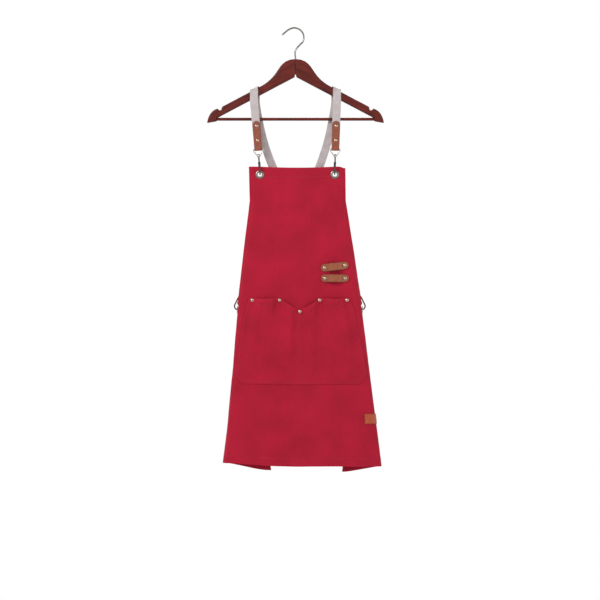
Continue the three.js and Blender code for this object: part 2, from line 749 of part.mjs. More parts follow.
// A snap hook in place. The returned group's +Z runs up along its strap.
function snapFrame(at, upAxis, hookPlaneAxis) {
  const frame = new THREE.Group();
  const z = upAxis.clone().normalize();
  const x = new THREE.Vector3().crossVectors(hookPlaneAxis, z).normalize();
  const y = new THREE.Vector3().crossVectors(z, x);
  frame.quaternion.setFromRotationMatrix(new THREE.Matrix4().makeBasis(x, y, z));
  frame.position.copy(at);
  frame.updateMatrix();
  group.add(frame);
  return frame;
}

function addSnap(name, frame) {
  add(`${name}_snap_eye`, snapEye(), steel, frame);
  add(`${name}_snap_hook`, snapHookBody(), steel, frame);
  add(`${name}_snap_gate`, snapGate(), steel, frame);
  const pin = rod(gatePin / 2, 2 * (snapThick / 2 + 1.5), 'x', 10);
  add(`${name}_snap_pin`, moved(pin, 0, gatePivot.y, gatePivot.z), steel, frame);
}

// ---------------------------------------------------------------- straps

// A flat band: stations give its middle and the direction of its width.
function band(stations, width, thickness) {
  const tangents = stations.map((_, k) => {
    const from = stations[Math.max(0, k - 1)].at;
    const to = stations[Math.min(stations.length - 1, k + 1)].at;
    return to.clone().sub(from).normalize();
  });
  return sheet(1, stations.length - 1, (i, j, side) => {
    const across = stations[j].across.clone();
    across.addScaledVector(tangents[j], -across.dot(tangents[j])).normalize();
    const normal = new THREE.Vector3().crossVectors(tangents[j], across);
    return stations[j].at.clone()
      .addScaledVector(across, (i - 0.5) * width)
      .addScaledVector(normal, (side * thickness) / 2);
  });
}

// The eyelet's upper rim rides in the hook's bend, and the snap hangs in line with its strap.
const rideHeight = eyeletHole / 2 + rimSeat;

function frontSnapFrame(side) {
  const eyelet = bibEyelet(side);
  const bend = vec(eyelet.x, strapPlane, eyelet.z + rideHeight);
  const over = vec((side * strapSpacing) / 2, strapPlane, armTopAt(strapSpacing / 2));
  return snapFrame(bend, over.sub(bend), vec(0, 1, 0));
}

const frontFrames = { left: frontSnapFrame(-1), right: frontSnapFrame(1) };

// The rear snap leans toward the other shoulder, and its gate faces inward.
function rearSnapFrame(side) {
  const bend = waistEyelet(side).at.add(vec(side * 0.25, 0, rideHeight));
  const up = vec(-side * Math.sin(rearAngle * rad), 0, Math.cos(rearAngle * rad));
  return snapFrame(bend, up, vec(-side, 0, 0));
}

const rearFrames = { left: rearSnapFrame(-1), right: rearSnapFrame(1) };

// The leather tab: one strip folded round the eye's bar, its ends on both sides of the webbing.
const tabInner = 1.6;
const tabTop = snapToBar - tabInner - leatherThick + tabLength;
const tabRivetLevels = [tabTop - 48, tabTop - 12];
const webInTab = 12;            // the webbing ends this far above the eye's bar

function makeTab(name, frame) {
  const outer = tabInner + leatherThick;
  const top = tabTop;
  const profile = new THREE.Shape();
  profile.moveTo(-outer, top);
  profile.lineTo(-outer, snapToBar);
  profile.absarc(0, snapToBar, outer, Math.PI, 2 * Math.PI);
  profile.lineTo(outer, top);
  profile.lineTo(tabInner, top);
  profile.lineTo(tabInner, snapToBar);
  profile.absarc(0, snapToBar, tabInner, 2 * Math.PI, Math.PI, true);
  profile.lineTo(-tabInner, top);
  const strip = plate(profile, tabWidth, { plane: 'side' });
  const mould = new THREE.Shape();
  const half = tabWidth / 2 + 1;
  mould.moveTo(-half, snapToBar - 10);
  mould.lineTo(half, snapToBar - 10);
  mould.lineTo(half, top - half);
  mould.absarc(0, top - half, half, 0, Math.PI);
  const holes = tabRivetLevels.map((z) => moved(rod(rivetShank / 2 + fitGap, 20, 'y', 8), 0, 0, z));
  add(`${name}_tab`, cut(keep(strip, plate(mould, 30)), ...holes), leather, frame);
  const head = rivetHead / 2 - 0.4;
  const reach = outer + fitGap;
  const stud = turned([
    [0, -reach - 1.8], [head * 0.6, -reach - 1.5], [head, -reach - 0.4], [head, -reach],
    [rivetShank / 2, -reach], [rivetShank / 2, reach],
    [head * 0.9, reach], [head * 0.9, reach + 0.4], [0, reach + 0.6],
  ]);
  ['lower', 'upper'].forEach((level, k) => {
    add(`${name}_tab_rivet_${level}`, moved(stud, 0, 0, tabRivetLevels[k]), copper, frame);
  });
}

// The webbing runs from inside the tab, over the arm and down the back to the other side's waist.
function webbingStations(side) {
  const front = side < 0 ? frontFrames.left : frontFrames.right;
  const rear = side < 0 ? rearFrames.right : rearFrames.left;
  const x = (side * strapSpacing) / 2;
  const armTop = armTopAt(Math.abs(x));
  const level = vec(1, 0, 0);
  const sloped = vec(Math.cos(armSlope * rad), 0, -side * Math.sin(armSlope * rad));
  const half = sloped.clone().lerp(level, 0.4);
  const reach = -strapPlane;
  const corner = edgeRound + webThick / 2;
  const crown = armTop + webThick / 2 + 7 * fitGap;
  const stations = [];
  const put = (at, across) => stations.push({ at, across });

  const low = front.localToWorld(vec(0, 0, snapToBar + webInTab));
  for (const t of [0, 0.35, 0.7, 1]) put(low.clone().lerp(vec(x, -reach, armTop - 30), t), level);
  put(vec(x, -reach, armTop - 12), half);
  for (const facing of [-1, 1]) {
    for (let k = 0; k <= 4; k++) {
      const turn = 90 * rad * (facing < 0 ? k / 4 : 1 - k / 4);
      const y = facing * (reach - corner * (1 - Math.cos(turn)));
      const drift = (side * strapDrift * (y + reach)) / (2 * reach);
      const rise = side * slope * drift;
      put(vec(x - drift, y, crown + rise + corner * (Math.sin(turn) - 1)), sloped);
    }
  }
  const behindX = x - side * strapDrift;
  put(vec(behindX, reach, armTop - 12), half);

  // Down the back: the left strap passes behind the right one.
  const layer = webThick / 2 + fitGap;
  const start = vec(behindX, reach, armTop - 30);
  const end = rear.localToWorld(vec(0, -layer, snapToBar + rearStraight));
  const arrive = rear.localToWorld(vec(0, -layer, snapToBar)).sub(end).normalize();
  const span = start.distanceTo(end);
  const behind = vec(0, side < 0 ? 14 : 0, 0);
  const fall = new THREE.CubicBezierCurve3(
    start,
    start.clone().addScaledVector(vec(-side * 0.13, 0, -0.99), 0.62 * span).add(behind),
    end.clone().addScaledVector(arrive, -0.15 * span).add(behind),
    end,
  );
  const axisOf = (x0, y0, z0) => rear.localToWorld(vec(x0, y0, z0)).sub(rear.localToWorld(vec(0, 0, 0)));
  const eyeAcross = axisOf(1, 0, 0);
  for (let k = 0; k <= 14; k++) {
    const twist = smooth(k / 14, 0.45, 1);
    put(fall.getPoint(k / 14), level.clone().multiplyScalar(Math.cos(twist * 90 * rad))
      .addScaledVector(eyeAcross, Math.sin(twist * 90 * rad)));
  }

  // The doubled end: round the eye's bar, and back up through the slider as a free tail.
  const round = eyeMetal / 2 + fitGap + webThick / 2;
  const putRear = (y, z) => put(rear.localToWorld(vec(0, y, z)), eyeAcross);
  putRear(-layer, snapToBar + 14);
  for (let k = 0; k <= 6; k++) {
    const turn = (k / 6) * Math.PI;
    putRear(-round * Math.cos(turn), snapToBar - round * Math.sin(turn));
  }
  putRear(layer, snapToBar + 14);
  putRear(layer, snapToBar + sliderLevel + sliderTravel + tailBeyond);
  return stations;
}

// A slider with its middle bar in front of the doubled webbing and its end bars behind it.
function slider() {
  const room = webThick + 2 * fitGap;
  const bar = 1.8;
  const rail = 2.6;
  const height = 20;
  const wide = webWidth + 2 * (rail + 2 * fitGap);
  const off = room + bar / 2;
  const rails = [-1, 1].map((side) => new THREE.BoxGeometry(rail, 2 * (room + bar), height)
    .translate((side * (wide - rail)) / 2, 0, 0));
  const ends = [-1, 1].map((side) => new THREE.BoxGeometry(wide, bar, 3.2)
    .translate(0, off, (side * (height - 3.2)) / 2));
  const middle = new THREE.BoxGeometry(wide, bar, 3.6).translate(0, -off, 0);
  return join(...rails, ...ends, middle);
}

function makeStraps() {
  for (const [name, side] of [['left', -1], ['right', 1]]) {
    const front = frontFrames[name];
    const holes = tabRivetLevels.map((z) => {
      const hole = moved(rod(rivetShank / 2 + fitGap, 20, 'y', 8), 0, 0, z);
      return hole.applyMatrix4(front.matrix);
    });
    add(`webbing_${name}`, cut(band(webbingStations(side), webWidth, webThick), ...holes), cotton);
    add(`rear_${name}_slider`, moved(slider(), 0, 0, snapToBar + sliderLevel), steel, rearFrames[name]);
  }
}

makeHook();
makeHanger();
makeApron();
makeEyelets();
makePocket();
makePocketRivets();
makeToolLoops();
makeLabel();
for (const name of ['left', 'right']) {
  addSnap(`front_${name}`, frontFrames[name]);
  makeTab(`front_${name}`, frontFrames[name]);
  addSnap(`rear_${name}`, rearFrames[name]);
}
makeStraps();

export default group;
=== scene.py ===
# %% [markdown]
# # A canvas bib apron on a lacquered hanger
# The real object is a red cotton canvas apron. Off-white webbing straps carry it over a wooden coat hanger,
# and snap hooks on leather tabs join the straps to eyelets in the cloth.
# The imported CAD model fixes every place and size, so this script only gives each piece its true surface.

# %% Load the fixed frame
import math

import bpy
import numpy as np
from mathutils import Matrix, Vector, noise


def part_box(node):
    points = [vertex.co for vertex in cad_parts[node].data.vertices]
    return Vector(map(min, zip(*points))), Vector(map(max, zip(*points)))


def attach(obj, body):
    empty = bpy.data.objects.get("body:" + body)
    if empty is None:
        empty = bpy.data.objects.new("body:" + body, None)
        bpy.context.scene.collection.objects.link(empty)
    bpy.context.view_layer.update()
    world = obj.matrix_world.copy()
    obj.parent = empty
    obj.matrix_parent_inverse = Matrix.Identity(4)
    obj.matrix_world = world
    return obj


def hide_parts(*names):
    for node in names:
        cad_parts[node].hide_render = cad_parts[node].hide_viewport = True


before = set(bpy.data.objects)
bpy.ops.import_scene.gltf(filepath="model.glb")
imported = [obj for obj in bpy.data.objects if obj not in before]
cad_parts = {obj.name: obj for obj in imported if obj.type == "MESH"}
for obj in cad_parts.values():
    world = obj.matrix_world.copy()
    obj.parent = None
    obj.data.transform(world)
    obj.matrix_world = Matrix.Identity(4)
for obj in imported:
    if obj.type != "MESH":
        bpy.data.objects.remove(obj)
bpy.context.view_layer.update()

print("CAD nodes:", len(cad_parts))

# %% [markdown]
# ## Camera
# A hanging garment is shown square on, from far enough away that its sides look parallel.
# A long lens does that. A turned camera or a short lens would make the hem look wider than the bib.

# %% Place the camera level with the pocket
scene = bpy.context.scene
scene.view_settings.view_transform = "Standard"
view_width = 1.496
camera_distance = 5.0
view_middle = Vector((0.0112, -0.009, -0.6776))
camera_data = bpy.data.cameras.new("studio_camera")
camera_data.sensor_width = 36
camera_data.lens = 36 * camera_distance / view_width
camera = bpy.data.objects.new("studio_camera", camera_data)
camera.location = view_middle + Vector((0, -camera_distance, 0))
camera.rotation_euler = (math.radians(90), 0, 0)
scene.collection.objects.link(camera)
scene.camera = camera
print("lens", round(camera_data.lens), "mm at", camera_distance, "m")

# %% [markdown]
# ## Studio
# The room is a white sky that darkens overhead, a large soft light from the upper left, and a weak one
# from the right. A pale floor lies well under the hem, as it does below a clothes rail.
# Even light alone would hide the folds, so the large light comes from the side.

# %% One function adds a node
def add_node(tree, kind, inputs=None, **settings):
    """Adds a node of that kind. An input is given a value, or is linked if it is given a socket."""
    node = tree.nodes.new(kind)
    for name, value in settings.items():
        setattr(node, name, value)
    for name, value in (inputs or {}).items():
        if isinstance(value, bpy.types.NodeSocket):
            tree.links.new(value, node.inputs[name])
        else:
            node.inputs[name].default_value = value
    return node


def linear(hex_colour):
    """An sRGB hex colour as linear red, green, blue and alpha."""
    parts = [int(hex_colour[i:i + 2], 16) / 255 for i in (1, 3, 5)]
    return [c / 12.92 if c <= 0.04045 else ((c + 0.055) / 1.055) ** 2.4 for c in parts] + [1]


# %% White sky
world = bpy.data.worlds.new("studio_sky")
world.use_nodes = True
scene.world = world
sky = world.node_tree
sky.nodes.clear()
direction = add_node(sky, "ShaderNodeTexCoord")
height = add_node(sky, "ShaderNodeSeparateXYZ", {0: direction.outputs["Generated"]})
steep = add_node(sky, "ShaderNodeMath", {0: height.outputs["Z"]}, operation="ABSOLUTE")
overhead = add_node(
    sky, "ShaderNodeMapRange",
    {"Value": steep.outputs[0], "From Min": 0.35, "From Max": 0.95, "To Min": 1.0, "To Max": 0.3},
)
glow = add_node(sky, "ShaderNodeBackground", {"Strength": overhead.outputs[0], "Color": linear("#ffffff")})
add_node(sky, "ShaderNodeOutputWorld", {"Surface": glow.outputs[0]})


# %% Lights and floor
def soft_light(name, place, aim, width, watts):
    """A square area light at a place, facing another."""
    data = bpy.data.lights.new(name, "AREA")
    data.shape = "SQUARE"
    data.size = width
    data.energy = watts
    light = bpy.data.objects.new(name, data)
    light.location = place
    light.rotation_euler = (Vector(aim) - Vector(place)).to_track_quat("-Z", "Y").to_euler()
    scene.collection.objects.link(light)
    return light


middle = (0, 0, -0.6)
soft_light("key_light", (-1.9, -2.1, 1.2), middle, 1.1, 62)
soft_light("side_light", (2.6, -1.2, -0.2), middle, 1.4, 18)
soft_light("back_light", (0.6, 2.6, 0.9), middle, 1.4, 30)

floor_level = -2.0
floor_mesh = bpy.data.meshes.new("studio_floor")
rim = [(3 * math.cos(k * math.pi / 32), 3 * math.sin(k * math.pi / 32), floor_level) for k in range(64)]
floor_mesh.from_pydata(rim, [], [list(range(64))])
studio_floor = bpy.data.objects.new("studio_floor", floor_mesh)
scene.collection.objects.link(studio_floor)


# %% [markdown]
# ## Finishes
# Each finish starts from what the real one is, and its pattern is sized in millimetres.
# Every soft mesh carries its own flat coordinates in an attribute, in metres of cloth, so a weave follows
# the folds. Image textures are not needed, and object coordinates would smear on the turned-back sides.

# %% Start a finish
def start_finish(name, **sockets):
    """A new material with its plain values on the shader's own sockets."""
    material = bpy.data.materials.new(name)
    material.use_nodes = True
    shader = material.node_tree.nodes["Principled BSDF"]
    for socket, value in sockets.items():
        shader.inputs[socket.replace("_", " ")].default_value = value
    return material, material.node_tree, shader


# %% [markdown]
# ### Floor paint
# Matt emulsion on a smooth board. A faint mottle keeps it from looking like a flat card.

# %% Floor paint
floor_paint, tree, shader = start_finish("matt_floor_paint", Roughness=0.9, IOR=1.5)
place = add_node(tree, "ShaderNodeTexCoord")
mottle = add_node(tree, "ShaderNodeTexNoise", {"Vector": place.outputs["Object"], "Scale": 3.0})
paint = add_node(
    tree, "ShaderNodeMix",
    {0: mottle.outputs["Fac"], 6: linear("#e9e7e4"), 7: linear("#efedeb")}, data_type="RGBA",
)
tree.links.new(paint.outputs[2], shader.inputs["Base Color"])
floor_mesh.materials.append(floor_paint)


# %% [markdown]
# ### Cotton canvas, piece-dyed red
# A plain weave of thick cotton yarn: dull, a little fuzzy, and mottled where the yarn swells.
# Real canvas has a thread each 0.7 mm. Drawn at 1.5 mm it still shows from arm's length.
# The yarns are two sine waves, one across the other, and a checker says which one is on top.

# %% Canvas
thread_pitch = 0.0015
wave_turn = 2 * math.pi / 20        # the wave texture repeats each wave_turn / Scale


def woven_finish(name, dark, light, pitch, fuzz, bump_depth):
    """A plain weave of that thread pitch, in the mesh's own cloth coordinates."""
    material, tree, shader = start_finish(
        name, Roughness=0.88, IOR=1.5, Sheen_Weight=fuzz, Sheen_Roughness=0.45, Specular_IOR_Level=0.25,
    )
    shader.inputs["Sheen Tint"].default_value = linear(light)
    cloth = add_node(tree, "ShaderNodeAttribute", attribute_name="cloth")
    flat = cloth.outputs["Vector"]
    warp = add_node(
        tree, "ShaderNodeTexWave", {"Vector": flat, "Scale": wave_turn / pitch, "Distortion": 0.6,
                                    "Detail": 1.0, "Detail Scale": 0.4},
        wave_type="BANDS", bands_direction="X",
    )
    weft = add_node(
        tree, "ShaderNodeTexWave", {"Vector": flat, "Scale": wave_turn / pitch, "Distortion": 0.6,
                                    "Detail": 1.0, "Detail Scale": 0.4},
        wave_type="BANDS", bands_direction="Y",
    )
    over = add_node(tree, "ShaderNodeTexChecker", {"Vector": flat, "Scale": 1 / pitch})
    yarn = add_node(
        tree, "ShaderNodeMix",
        {0: over.outputs["Fac"], 2: warp.outputs["Fac"], 3: weft.outputs["Fac"]}, data_type="FLOAT",
    )
    slub = add_node(
        tree, "ShaderNodeTexNoise", {"Vector": flat, "Scale": 210.0, "Detail": 4.0, "Roughness": 0.7},
    )
    wash = add_node(tree, "ShaderNodeTexNoise", {"Vector": flat, "Scale": 14.0, "Detail": 3.0})
    slubbed = add_node(
        tree, "ShaderNodeMix",
        {0: 0.45, 2: yarn.outputs[0], 3: slub.outputs["Fac"]}, data_type="FLOAT",
    )
    tone = add_node(
        tree, "ShaderNodeMix",
        {0: 0.45, 2: slubbed.outputs[0], 3: wash.outputs["Fac"]}, data_type="FLOAT",
    )
    spread = add_node(
        tree, "ShaderNodeMapRange", {"Value": tone.outputs[0], "From Min": 0.28, "From Max": 0.72},
    )
    dyed = add_node(
        tree, "ShaderNodeMix",
        {0: spread.outputs[0], 6: linear(dark), 7: linear(light)}, data_type="RGBA",
    )
    worn = add_node(tree, "ShaderNodeAttribute", attribute_name="wear_and_shade")
    faded = add_node(
        tree, "ShaderNodeMix",
        {0: worn.outputs["Fac"], 6: dyed.outputs[2], 7: linear(light)}, data_type="RGBA",
    )
    tree.links.new(faded.outputs[2], shader.inputs["Base Color"])
    relief = add_node(
        tree, "ShaderNodeBump", {"Height": slubbed.outputs[0], "Strength": 0.6, "Distance": bump_depth},
    )
    tree.links.new(relief.outputs[0], shader.inputs["Normal"])
    return material


canvas = woven_finish("red_cotton_canvas", "#87071f", "#b01131", thread_pitch, 0.03, 0.0005)
print("canvas thread", thread_pitch * 1000, "mm")

# %% [markdown]
# ### Cotton webbing
# The straps are heavy cotton webbing in its natural off-white. It is a warp-faced weave, so what shows is
# ribs along the strap, about 1.7 mm apart. A tight wave across the width draws them.

# %% Webbing
webbing_finish, tree, shader = start_finish(
    "natural_cotton_webbing", Roughness=0.92, IOR=1.5, Sheen_Weight=0.15, Specular_IOR_Level=0.25,
)
cloth = add_node(tree, "ShaderNodeAttribute", attribute_name="cloth")
ribs = add_node(
    tree, "ShaderNodeTexWave",
    {"Vector": cloth.outputs["Vector"], "Scale": wave_turn / 0.0017, "Distortion": 0.3},
    wave_type="BANDS", bands_direction="X",
)
picks = add_node(
    tree, "ShaderNodeTexWave",
    {"Vector": cloth.outputs["Vector"], "Scale": wave_turn / 0.0022, "Distortion": 0.8},
    wave_type="BANDS", bands_direction="Y",
)
grid = add_node(
    tree, "ShaderNodeMix", {0: 0.3, 2: ribs.outputs["Fac"], 3: picks.outputs["Fac"]}, data_type="FLOAT",
)
dust = add_node(tree, "ShaderNodeTexNoise", {"Vector": cloth.outputs["Vector"], "Scale": 60.0, "Detail": 3.0})
grey = add_node(
    tree, "ShaderNodeMix", {0: 0.5, 2: grid.outputs[0], 3: dust.outputs["Fac"]}, data_type="FLOAT",
)
grey_range = add_node(
    tree, "ShaderNodeMapRange", {"Value": grey.outputs[0], "From Min": 0.2, "From Max": 0.8},
)
undyed = add_node(
    tree, "ShaderNodeMix",
    {0: grey_range.outputs[0], 6: linear("#9a9192"), 7: linear("#c3b9b9")}, data_type="RGBA",
)
tree.links.new(undyed.outputs[2], shader.inputs["Base Color"])
relief = add_node(tree, "ShaderNodeBump", {"Height": grid.outputs[0], "Strength": 0.7, "Distance": 0.0005})
tree.links.new(relief.outputs[0], shader.inputs["Normal"])

# %% [markdown]
# ### Sewing thread
# Polyester thread dyed to match the canvas. It is smoother than the cloth, so it catches a little light.
# The twist of the thread is a slanting wave, 0.6 mm from turn to turn.

# %% Thread
thread_finish, tree, shader = start_finish("red_polyester_thread", Roughness=0.5, IOR=1.57)
place = add_node(tree, "ShaderNodeTexCoord")
twist = add_node(
    tree, "ShaderNodeTexWave", {"Vector": place.outputs["Object"], "Scale": wave_turn / 0.0006},
    wave_type="BANDS", bands_direction="DIAGONAL",
)
dyed_thread = add_node(
    tree, "ShaderNodeMix",
    {0: twist.outputs["Fac"], 6: linear("#7a1029"), 7: linear("#a8253f")}, data_type="RGBA",
)
tree.links.new(dyed_thread.outputs[2], shader.inputs["Base Color"])
print("thread and webbing finishes made")

# %% [markdown]
# ### Vegetable-tanned leather
# The tabs, loops and patch are smooth leather in tan, gold and orange, about 2 mm thick. Its pores are
# about 0.8 mm apart, its tone drifts over centimetres, and its cut edges are burnished dark. The mesh
# stores how near a cut edge is.

# %% Leather
def leather_finish(name, deep, warm, edge):
    """Smooth leather with pores and burnished edges."""
    material, tree, shader = start_finish(name, Roughness=0.55, IOR=1.5)
    cloth = add_node(tree, "ShaderNodeAttribute", attribute_name="cloth")
    flat = cloth.outputs["Vector"]
    drift = add_node(
        tree, "ShaderNodeTexNoise", {"Vector": flat, "Scale": 95.0, "Detail": 5.0, "Roughness": 0.6},
    )
    tan = add_node(
        tree, "ShaderNodeMapRange", {"Value": drift.outputs["Fac"], "From Min": 0.32, "From Max": 0.68},
    )
    hide = add_node(
        tree, "ShaderNodeMix", {0: tan.outputs[0], 6: linear(deep), 7: linear(warm)}, data_type="RGBA",
    )
    near_edge = add_node(tree, "ShaderNodeAttribute", attribute_name="wear_and_shade")
    burnished = add_node(
        tree, "ShaderNodeMix", {0: near_edge.outputs["Fac"], 6: hide.outputs[2], 7: linear(edge)},
        data_type="RGBA",
    )
    tree.links.new(burnished.outputs[2], shader.inputs["Base Color"])
    pores = add_node(tree, "ShaderNodeTexVoronoi", {"Vector": flat, "Scale": 1 / 0.0008})
    creased = add_node(
        tree, "ShaderNodeMix", {0: 0.4, 2: pores.outputs["Distance"], 3: drift.outputs["Fac"]},
        data_type="FLOAT",
    )
    relief = add_node(
        tree, "ShaderNodeBump", {"Height": creased.outputs[0], "Strength": 0.5, "Distance": 0.0003},
    )
    tree.links.new(relief.outputs[0], shader.inputs["Normal"])
    gloss = add_node(
        tree, "ShaderNodeMapRange", {"Value": drift.outputs["Fac"], "To Min": 0.42, "To Max": 0.62},
    )
    tree.links.new(gloss.outputs[0], shader.inputs["Roughness"])
    return material


tab_leather = leather_finish("tan_bridle_leather", "#6e321f", "#8c4529", "#44200f")
loop_leather = leather_finish("golden_bridle_leather", "#78391b", "#934c24", "#4c230f")
patch_leather = leather_finish("orange_bridle_leather", "#91330f", "#ab4518", "#64240d")
print("leather pores 0.8 mm apart")

# %% [markdown]
# ### Mahogany under dark lacquer
# The hanger is stained hardwood under a thin clear coat. Its grain runs along each arm: fine dark lines
# about 1.5 mm apart that stretch 60 mm or more. Noise squeezed across the grain gives that, and the mesh
# says which way the arm runs. The mesh also marks the arms' rims, which get painted shade: a near-black
# brown where the rims turn away from the front.

# %% Lacquered wood
wood_finish, tree, shader = start_finish(
    "lacquered_mahogany", Roughness=0.42, IOR=1.5, Specular_IOR_Level=0.15,
    Coat_Weight=0.12, Coat_Roughness=0.15,
)
arm_line = add_node(tree, "ShaderNodeAttribute", attribute_name="cloth")
squeezed = add_node(
    tree, "ShaderNodeVectorMath", {0: arm_line.outputs["Vector"], 1: (16, 330, 330)}, operation="MULTIPLY",
)
grain = add_node(
    tree, "ShaderNodeTexNoise",
    {"Vector": squeezed.outputs[0], "Scale": 1.0, "Detail": 5.0, "Roughness": 0.65, "Distortion": 0.4},
)
figure = add_node(
    tree, "ShaderNodeTexNoise", {"Vector": arm_line.outputs["Vector"], "Scale": 26.0, "Detail": 2.0},
)
streaks = add_node(
    tree, "ShaderNodeMix", {0: 0.35, 2: grain.outputs["Fac"], 3: figure.outputs["Fac"]}, data_type="FLOAT",
)
streak_range = add_node(
    tree, "ShaderNodeMapRange", {"Value": streaks.outputs[0], "From Min": 0.36, "From Max": 0.64},
)
stained = add_node(
    tree, "ShaderNodeMix",
    {0: streak_range.outputs[0], 6: linear("#380b06"), 7: linear("#6c2116")}, data_type="RGBA",
)
# Painted shade: the arms' rims, marked in the mesh, are mixed toward a near-black brown.
painted_rim_shade = add_node(tree, "ShaderNodeAttribute", attribute_name="wear_and_shade")
wood_with_painted_rim_shade = add_node(
    tree, "ShaderNodeMix", {0: painted_rim_shade.outputs["Fac"], 6: stained.outputs[2], 7: linear("#2a0a07")},
    data_type="RGBA",
)
tree.links.new(wood_with_painted_rim_shade.outputs[2], shader.inputs["Base Color"])
relief = add_node(
    tree, "ShaderNodeBump", {"Height": grain.outputs["Fac"], "Strength": 0.15, "Distance": 0.0003},
)
tree.links.new(relief.outputs[0], shader.inputs["Normal"])

# %% [markdown]
# ### Plated metals
# The hook is chromed steel wire. The snaps are castings: a bright nickel eye, and a hook and gate in dark
# gunmetal. Rivets have a pale copper plating and eyelets a darker one. Plating is smooth, with handling
# marks that only change how sharp a highlight is.

# %% Metals
def metal_finish(name, colour, dull, low, high, mark_size):
    """A plated metal. Marks of that size vary its roughness between low and high."""
    material, tree, shader = start_finish(name, Metallic=1.0)
    place = add_node(tree, "ShaderNodeTexCoord")
    marks = add_node(
        tree, "ShaderNodeTexNoise",
        {"Vector": place.outputs["Object"], "Scale": 1 / mark_size, "Detail": 4.0, "Roughness": 0.7},
    )
    plating = add_node(
        tree, "ShaderNodeMix",
        {0: marks.outputs["Fac"], 6: linear(dull), 7: linear(colour)}, data_type="RGBA",
    )
    tree.links.new(plating.outputs[2], shader.inputs["Base Color"])
    gloss = add_node(
        tree, "ShaderNodeMapRange",
        {"Value": marks.outputs["Fac"], "From Min": 0.3, "From Max": 0.7, "To Min": low, "To Max": high},
    )
    tree.links.new(gloss.outputs[0], shader.inputs["Roughness"])
    return material


chrome = metal_finish("chromed_wire", "#97918f", "#6f6a68", 0.08, 0.22, 0.006)
nickel = metal_finish("nickel_casting", "#c6c2b8", "#9b978e", 0.18, 0.36, 0.003)
antique = metal_finish("antique_plating", "#c9a999", "#8f7364", 0.2, 0.38, 0.002)
dark_antique = metal_finish("dark_antique_plating", "#94877f", "#655a53", 0.22, 0.4, 0.002)
gunmetal = metal_finish("gunmetal_casting", "#57524f", "#383432", 0.22, 0.4, 0.003)
print("finishes:", [m.name for m in bpy.data.materials])

# %% [markdown]
# ## The pattern the cloth follows
# The CAD says how the apron folds: a flat front, a bend, a narrow side face, a second bend, and a wing
# behind. The same walk round the section, in millimetres, places the cloth, its pocket, its stitches and
# its patch, so they can't drift apart. Sculpting each by eye would leave gaps.

# %% Sizes of the cloth, in millimetres
apron_length, waist_drop = 748, 361
top_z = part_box("apron_panel")[1].z * 1000
waist_z = top_z - waist_drop
hem_z = top_z - apron_length
bib_plane = -9.4
bib_half, waist_half, hem_half = 113, 155, 199
wing_left, wing_right = 106, 86
shift_at_top, shift_at_hem = 4, 18    # right of the hook
bib_straight = 85                # the bib's sides start to flare this far down
fold_radius = 14
side_depth = 27
cloth_half = 0.6                 # half the thickness of one layer of canvas


def ramp(value, start, end):
    """0 at start, 1 at end, and straight between."""
    return min(1.0, max(0.0, (value - start) / (end - start)))


def ease(value, start, end):
    """0 at start, 1 at end, and rounded off at both."""
    t = ramp(value, start, end)
    return t * t * (3 - 2 * t)


def centre_at(z):
    """The apron hangs a little to the right of the hook."""
    return shift_at_top + (shift_at_hem - shift_at_top) * ramp(z, top_z, hem_z)


def outline_at(z):
    """Half the width seen from the front."""
    bib = bib_half + (waist_half - bib_half) * ramp(z, top_z - bib_straight, waist_z)
    return bib + (hem_half - waist_half) * ramp(z, waist_z, hem_z)


def runs_at(z, side):
    """Lengths of the front, first bend, side face, second bend and wing, and the two bend angles."""
    corner = ramp(z, waist_z + 26, waist_z + 14)
    first = 0.15 + 0.95 * ramp(z, top_z, waist_z + 26) + (math.pi / 2 - 1.1) * corner
    second = 0.03 + (math.pi / 2 - 0.03) * ease(z, waist_z - 20, waist_z - 105)
    face = 1 + (side_depth - 1) * corner * (1 - 0.6 * ease(z, waist_z - 40, hem_z))
    wing = 6 + ((wing_left if side < 0 else wing_right) - 6) * ramp(z, waist_z - 20, hem_z)
    front = outline_at(z) - fold_radius * math.sin(first)
    return [front, fold_radius * first, face, fold_radius * second, wing], first, second


def round_section(s, z, away):
    """The point s mm from the centre line round the section at height z, and 'away' mm off it."""
    side = -1 if s < 0 else 1
    (front, _, face, _, wing), first, second = runs_at(z, side)
    left, x, y, heading = abs(s), 0.0, 0.0, 0.0
    for length, angle in ((front, first), (face, second), (wing + 1, 0)):
        step = min(left, length)
        x += step * math.cos(heading)
        y += step * math.sin(heading)
        left -= step
        turn = min(left / fold_radius, angle)
        x += fold_radius * (math.sin(heading + turn) - math.sin(heading))
        y += fold_radius * (math.cos(heading) - math.cos(heading + turn))
        heading += turn
        left -= turn * fold_radius
    x += away * math.sin(heading)
    y -= away * math.cos(heading)
    return Vector((centre_at(z) + side * x, bib_plane + y, z))


def cloth_half_width(z, side):
    return sum(runs_at(z, side)[0])


# %% [markdown]
# ### How it hangs
# Canvas this heavy makes few, wide flutes, and they grow toward the hem. The bib keeps faint upright creases
# from its fold, and slack between its two eyelets lets the top edge sag. Metal fixings hold the cloth still,
# so every wave fades out around them. A cloth simulation could settle it too, with each fixing pinned, but
# canvas hangs regularly enough to write down, and the written shape stays where the CAD's fixings are.

# %% Waves, creases and sag
pocket_drop, pocket_dip = 327, 28.5
pocket_half_top, end_rivet_inset = 125, 7
rivet_drop = 6
pocket_top = top_z - pocket_drop
outer_rivet, inner_rivet = pocket_half_top - end_rivet_inset, 0.4 * pocket_half_top
rivet_points = [(s, pocket_top - rivet_drop) for s in (outer_rivet, -outer_rivet, inner_rivet, -inner_rivet)]
rivet_points.append((0, pocket_top - rivet_drop - pocket_dip))
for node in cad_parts:
    if node.startswith("tool_loop_rivet"):
        low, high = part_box(node)
        level = (low.z + high.z) * 500
        rivet_points.append(((low.x + high.x) * 500 - centre_at(level), level))
eyelet_inset, eyelet_half_spacing = 20, 93.5
bib_eyelet_z = top_z - eyelet_inset
eyelet_points = [(side * eyelet_half_spacing, bib_eyelet_z) for side in (-1, 1)]


